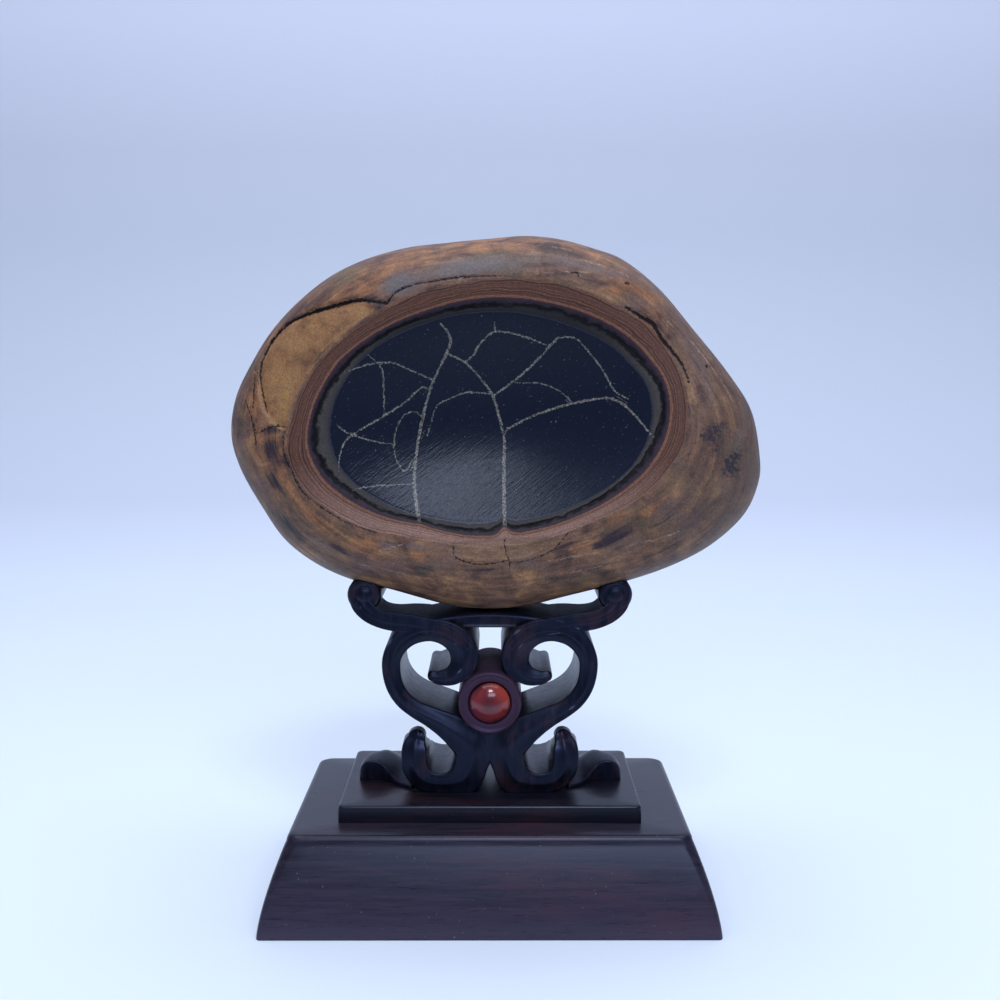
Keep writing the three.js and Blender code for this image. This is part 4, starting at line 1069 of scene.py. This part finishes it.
class RockStone(bpy.types.PropertyGroup):
    eye_half_width: FloatProperty(
        name="Eye half width", description="Half the width of the polished eye", default=41.9 * MM,
        unit="LENGTH")
    eye_half_height: FloatProperty(
        name="Eye half height", description="Half the height of the eye", default=26.7 * MM, unit="LENGTH")
    eye_tilt: FloatProperty(
        name="Eye tilt", description="How far the eye's right end is raised", default=math.radians(7),
        subtype="ANGLE")
    front_swell: FloatProperty(
        name="Front swell", description="Height of the front before the dish", default=21.4 * MM,
        unit="LENGTH")
    back_swell: FloatProperty(
        name="Back swell", description="Height of the domed back", default=20.5 * MM, unit="LENGTH")
    dish_depth: FloatProperty(
        name="Dish depth", description="Depth of the ground eye", default=9 * MM, unit="LENGTH")

    core_colour: FloatVectorProperty(
        name="Core", description="The polished core of the eye", subtype="COLOR", size=4, min=0, max=1,
        default=linear("#111827"))
    rind_colour: FloatVectorProperty(
        name="Rind", description="The brown of the rind, between its darker and rustier streaks",
        subtype="COLOR", size=4, min=0, max=1, default=linear("#674a3a"))
    ochre_colour: FloatVectorProperty(
        name="Ochre", description="The layer under the flake at the upper left", subtype="COLOR", size=4,
        min=0, max=1, default=linear("#966d46"))


class RockStand(bpy.types.PropertyGroup):
    carved_colour: FloatVectorProperty(
        name="Carved wood", description="The waxed black of the cradle", subtype="COLOR", size=4, min=0,
        max=1, default=linear("#090a12"))
    bead_colour: FloatVectorProperty(
        name="Bead", description="The red of the agate half way to its edge", subtype="COLOR", size=4, min=0,
        max=1, default=linear("#6a2228"))


class RockStudio(bpy.types.PropertyGroup):
    distance: FloatProperty(
        name="Camera distance", description="From the camera to the plane through the stone's middle",
        default=320.5 * MM, unit="LENGTH")
    height: FloatProperty(
        name="Camera height", description="Above the floor", default=131.36 * MM, unit="LENGTH")
    lens: FloatProperty(
        name="Lens", description="Focal length on a 36 mm sensor, in millimetres", default=46.8)
    backdrop: FloatVectorProperty(
        name="Backdrop", description="Colour of the paper sweep", subtype="COLOR", size=4, min=0, max=1,
        default=linear("#e6f2fc"))


CAMERA_ASIDE = 1.84  # the camera stands this far to the right
CAMERA_PITCH = 0.1075  # and looks down and to the right by these angles in radians
CAMERA_YAW = 0.0020
SENSOR_WIDTH = 36
PAPER_HALF_WIDTH = 1500
PAPER_FRONT = -1500
PAPER_TURN = 380  # the paper lies flat up to this line behind the stand
PAPER_TURN_RADIUS = 220  # and turns up with this radius
PAPER_TOP = 1600
# The paper's grading is painted shade: it darkens up the wall and before the stand
PAPER_RAMP_TOP = 400  # it is graded from white at the floor to pale blue up to this height
PAPER_GREY_FROM = 90  # and turns grey between these two lines before the stand
PAPER_GREY_TO = 200
SKY_COLOUR = "#afbfea"
SKY_STRENGTH = 0.37
# Name, place and the point it faces in metres, size in metres, power in watts, colour
SOFTBOXES = [
    ("top_softbox", (0.0, 0.05, 0.95), (0, 0.05, 0.0), (1.1, 0.8), 6.8, "#fbfbff"),
    ("front_softbox", (0.05, -0.62, 0.78), (0, 0, 0.1), (0.24, 0.12), 2.8, "#e8edfc"),
    ("wide_low_softbox", (0.12, -0.78, 0.54), (0, 0, 0.1), (0.5, 0.22), 2.2, "#d9e4ff"),
]


def matt_paper(studio):
    """Matt paper with painted shade graded into it: pale blue up the wall, and grey before the stand."""
    material, add = new_material("matt_paper")
    _, back, up = add("SeparateXYZ", (add("TexCoord").outputs["Object"],)).outputs
    paper = add("ValToRGB", (add("MapRange", (up, 0, PAPER_RAMP_TOP * MM)),), [
        (0.0, studio.backdrop), (0.03, "#e0ebf8"), (0.105, "#d4ddeb"), (0.345, "#d0d9e4"), (0.69, "#ced3df"),
        (0.905, "#d9deec")])
    painted_shade_before_stand = add("MapRange", (back, -PAPER_GREY_FROM * MM, -PAPER_GREY_TO * MM))
    paper_with_painted_shade = add("MixRGB", (painted_shade_before_stand, paper, "#868d9d"))
    return finished(material, add, {"Base Color": paper_with_painted_shade, "Roughness": 0.9})


def paper_sweep(studio):
    """Paper behind the object: flat on the floor, turned up by a quarter circle, and then upright."""
    turn = np.linspace(0, math.pi / 2, 24)
    profile = np.vstack([
        [(PAPER_FRONT, 0)],
        np.stack([PAPER_TURN + PAPER_TURN_RADIUS * np.sin(turn), PAPER_TURN_RADIUS * (1 - np.cos(turn))], -1),
        [(PAPER_TURN + PAPER_TURN_RADIUS, PAPER_TOP)]])
    left, right = (np.insert(profile, 0, x, axis=1) for x in (-PAPER_HALF_WIDTH, PAPER_HALF_WIDTH))
    count = len(profile)
    here = np.arange(count - 1)
    faces = np.stack([here, here + count, here + count + 1, here + 1], -1)
    mesh = bpy.data.meshes.new("paper_sweep")
    mesh.from_pydata((np.vstack([left, right]) * MM).tolist(), [], faces.tolist())
    mesh.shade_smooth()
    mesh.materials.append(matt_paper(studio))
    sweep = bpy.data.objects.new("paper_sweep", mesh)
    bpy.context.scene.collection.objects.link(sweep)
    return sweep


class ROCK_OT_stage(bpy.types.Operator):
    """Build the camera, the paper sweep and the soft studio light"""

    bl_idname = "rock.stage"
    bl_label = "Stage and camera"

    def execute(self, context):
        scene = context.scene
        studio = scene.rock_studio
        camera = bpy.data.cameras.new("photo_view")
        camera.lens = studio.lens
        camera.sensor_width = SENSOR_WIDTH
        viewer = bpy.data.objects.new("photo_view", camera)
        level = math.cos(CAMERA_PITCH)
        forward = Vector((
            math.sin(CAMERA_YAW) * level, math.cos(CAMERA_YAW) * level, -math.sin(CAMERA_PITCH)))
        right = Vector((math.cos(CAMERA_YAW), -math.sin(CAMERA_YAW), 0))
        facing = Matrix((right, right.cross(forward), -forward)).transposed().to_4x4()
        viewer.matrix_world = Matrix.Translation(
            (CAMERA_ASIDE * MM, -studio.distance, studio.height)) @ facing
        scene.collection.objects.link(viewer)
        scene.camera = viewer

        sweep = paper_sweep(studio)

        world = bpy.data.worlds.new("studio")
        world.use_nodes = True
        sky = world.node_tree.nodes["Background"]
        sky.inputs["Color"].default_value = linear(SKY_COLOUR)
        sky.inputs["Strength"].default_value = SKY_STRENGTH
        scene.world = world
        for name, place, aim, size, power, colour in SOFTBOXES:
            light = bpy.data.lights.new(name, "AREA")
            light.shape = "RECTANGLE"
            light.size, light.size_y = size
            light.energy = power
            light.color = linear(colour)[:3]
            lamp = bpy.data.objects.new(name, light)
            lamp.location = place
            lamp.rotation_euler = (Vector(aim) - Vector(place)).to_track_quat("-Z", "Y").to_euler()
            scene.collection.objects.link(lamp)
        scene.view_settings.view_transform = "Standard"
        return {"FINISHED"}


class ROCK_OT_stone(bpy.types.Operator):
    """Build the banded stone with its polished eye"""

    bl_idname = "rock.stone"
    bl_label = "Stone"

    def execute(self, context):
        shape = context.scene.rock_stone
        rings, attributes = stone_rings(shape)
        stone = closed_skin("banded_stone", rings, attributes, sharp=math.pi)
        dress(stone, banded_ironstone(shape), "stone")
        return {"FINISHED"}


class ROCK_OT_scroll(bpy.types.Operator):
    """Build the carved cradle with its scrolls, boss and leaf feet"""

    bl_idname = "rock.scroll"
    bl_label = "Carved scroll"

    def execute(self, context):
        ribbons = [block("web", *WEB), ribbon("scroll_left", S_RIBBON, -1, INNER_SLOPE)]
        details = [
            block("saddle", *SADDLE, drop=SADDLE_DROP, count=25),
            turned("boss", DRUM_PROFILE, 0, BOSS_HEIGHT, FINE_COLUMNS)]
        for side in (1, -1):
            ribbons.append(ribbon(f"arm_{side}", ARM_RIBBON, side, back_drop=ARM_BACK_DROP))
            details += [
                mound(f"leaf_{side}", OUTER_LEAF, side),
                turned(f"bulb_{side}", BULB_PROFILE, side * BULB_PLACE[0], BULB_PLACE[1]),
            ]
        scroll = joined(
            "carved_cradle",
            ribbon("scroll_right", S_RIBBON, 1, INNER_SLOPE),
            ("UNION", ribbons),
            ("DIFFERENCE", [
                trough("trough"), turned("collar", COLLAR_PROFILE, 0, BOSS_HEIGHT, FINE_COLUMNS)]),
            ("UNION", details),
            ("DIFFERENCE", [
                turned("seat", SEAT_PROFILE, 0, BOSS_HEIGHT),
                block("below", *BELOW),
                grown_stone(context.scene.rock_stone, CLEARANCE),
            ]),
        )
        dress(scroll, carved_blackwood(context.scene.rock_stand), "carved_scroll")
        return {"FINISHED"}


BEAD_RADIUS = 4.85
BEAD_DOME = 6.2  # radius of the sphere that its face is part of
BEAD_FACE = -13.5
BEAD_BACK = -11.1
BEAD_EDGE = 0.3


class ROCK_OT_bead(bpy.types.Operator):
    """Build the agate bead in the boss"""

    bl_idname = "rock.bead"
    bl_label = "Agate bead"

    def execute(self, context):
        turn = np.linspace(0, math.asin(BEAD_RADIUS / BEAD_DOME), 24)
        centre = BEAD_FACE + math.sqrt(BEAD_DOME ** 2 - BEAD_RADIUS ** 2)
        profile = np.vstack([
            np.stack([BEAD_DOME * np.sin(turn), centre - BEAD_DOME * np.cos(turn)], -1),
            [(BEAD_RADIUS, BEAD_BACK + BEAD_EDGE), (BEAD_RADIUS - BEAD_EDGE, BEAD_BACK), (0, BEAD_BACK)]])
        bead = turned("agate_bead", profile, 0, BOSS_HEIGHT, FINE_COLUMNS)
        dress(bead, red_agate(context.scene.rock_stand), "cabochon")
        return {"FINISHED"}


# Plinth: half widths and depths, the flare of the lower tier's side, and the rounding of the edges
BASE_HALF = (46.6, 29.6)
BASE_HEIGHT = 21.9
BASE_FLARE = (6.65, 7.75)  # at the ends, and in front and behind
BASE_FLARE_POWER = 1.45
BASE_CORNER_RADII = (1.0, 3.0)  # at the foot and at the top
BASE_EDGE = 1.6
BASE_FOOT_EDGE = 0.2
STEP_HALF = (36.1, 22.4)
STEP_TOP = 26.0
STEP_GAP = 0.02  # the upper tier starts this far above the lower one
STEP_SETBACK = 0.8
STEP_CORNER_RADII = (0.9, 1.3)
STEP_EDGE = 0.7


def plinth_rings(
        half_width, half_depth, radii, levels, middle_y=0.0, corner_steps=8, side_steps=24):
    """Rounded rectangles stacked up the levels; each level is a height and how far the outline moves out
    there in X and in Y. The corners' radius passes from the first to the second of the radii."""
    turn = np.linspace(0, math.pi / 2, corner_steps + 1)
    arc = np.stack([np.cos(turn), np.sin(turn)], -1)
    rings = []
    for height, out_x, out_y in levels:
        radius = np.interp(height, (levels[0][0], levels[-1][0]), radii)
        wide, deep = half_width + out_x - radius, half_depth + out_y - radius
        corners = [
            (wide, deep) + radius * arc, (-wide, deep) + radius * arc[:, ::-1] * (-1, 1),
            (-wide, -deep) - radius * arc, (wide, -deep) + radius * arc[:, ::-1] * (1, -1)]
        ring = []
        for here, after in zip(corners, corners[1:] + corners[:1]):
            t = np.linspace(0, 1, side_steps + 1)[1:-1, None]
            ring += [here, here[-1] + t * (after[0] - here[-1])]
        flat = np.vstack(ring)
        rings.append(np.stack([flat[:, 0], flat[:, 1] + middle_y, np.full(len(flat), height)], -1))
    return np.stack(rings)


class ROCK_OT_plinth(bpy.types.Operator):
    """Build the two tiers of the plinth"""

    bl_idname = "rock.plinth"
    bl_label = "Plinth"

    def execute(self, context):
        turn = np.linspace(0, math.pi / 2, 6)
        arc = np.stack([1 - np.sin(turn), 1 - np.cos(turn)], -1)
        z = np.linspace(BASE_FOOT_EDGE, BASE_HEIGHT - BASE_EDGE, 24)
        share = 1 - (z / BASE_HEIGHT) ** BASE_FLARE_POWER
        side = np.stack([z, BASE_FLARE[0] * share, BASE_FLARE[1] * share], -1)
        foot = side[0] + BASE_FOOT_EDGE * np.stack([arc[:, 1] - 1, -arc[:, 0], -arc[:, 0]], -1)
        brow = side[-1] + BASE_EDGE * np.stack([1 - arc[1:, 0], -arc[1:, 1], -arc[1:, 1]], -1)
        levels = np.vstack([foot[:-1], side, brow])
        base = closed_skin("plinth_base", plinth_rings(*BASE_HALF, BASE_CORNER_RADII, levels))
        wood = planed_blackwood("blackwood_planed_waxed", "#12121b", "#2f2a36", "#38242c")
        dress(base, wood, "base_block")

        z = np.linspace(BASE_HEIGHT + STEP_GAP, STEP_TOP - STEP_EDGE, 5)
        across, up = STEP_EDGE * arc[1:, 1], STEP_EDGE * arc[1:, 0]
        levels = np.vstack([
            np.stack([z, 0 * z, 0 * z], -1), np.stack([STEP_TOP - up, -across, -across], -1)])
        step = closed_skin("plinth_step", plinth_rings(*STEP_HALF, STEP_CORNER_RADII, levels, STEP_SETBACK))
        wood = planed_blackwood("blackwood_planed_waxed_step", "#0b0c15", "#171722", "#2b1a1d")
        dress(step, wood, "step_plate")
        return {"FINISHED"}


class ROCK_PT_panel(bpy.types.Panel):
    """Buttons for the pieces of the scholars rock"""

    bl_idname = "ROCK_PT_panel"
    bl_label = "Scholars Rock"
    bl_space_type = "VIEW_3D"
    bl_region_type = "UI"
    bl_category = "Rock"

    def draw(self, context):
        for operator in OPERATORS:
            self.layout.operator(operator.bl_idname)
        for group in (context.scene.rock_stone, context.scene.rock_stand, context.scene.rock_studio):
            for key in group.__annotations__:
                self.layout.prop(group, key)


OPERATORS = (ROCK_OT_stage, ROCK_OT_plinth, ROCK_OT_scroll, ROCK_OT_bead, ROCK_OT_stone)
CLASSES = (RockStone, RockStand, RockStudio, *OPERATORS, ROCK_PT_panel)


def register():
    for cls in CLASSES:
        bpy.utils.register_class(cls)
    bpy.types.Scene.rock_stone = PointerProperty(type=RockStone)
    bpy.types.Scene.rock_stand = PointerProperty(type=RockStand)
    bpy.types.Scene.rock_studio = PointerProperty(type=RockStudio)


def unregister():
    del bpy.types.Scene.rock_studio
    del bpy.types.Scene.rock_stand
    del bpy.types.Scene.rock_stone
    for cls in reversed(CLASSES):
        bpy.utils.unregister_class(cls)


def main():
    """Register the add-on and build every piece."""
    register()
    bpy.ops.rock.stage()
    bpy.ops.rock.plinth()
    bpy.ops.rock.scroll()
    bpy.ops.rock.bead()
    bpy.ops.rock.stone()


if __name__ == "__main__":
    main()
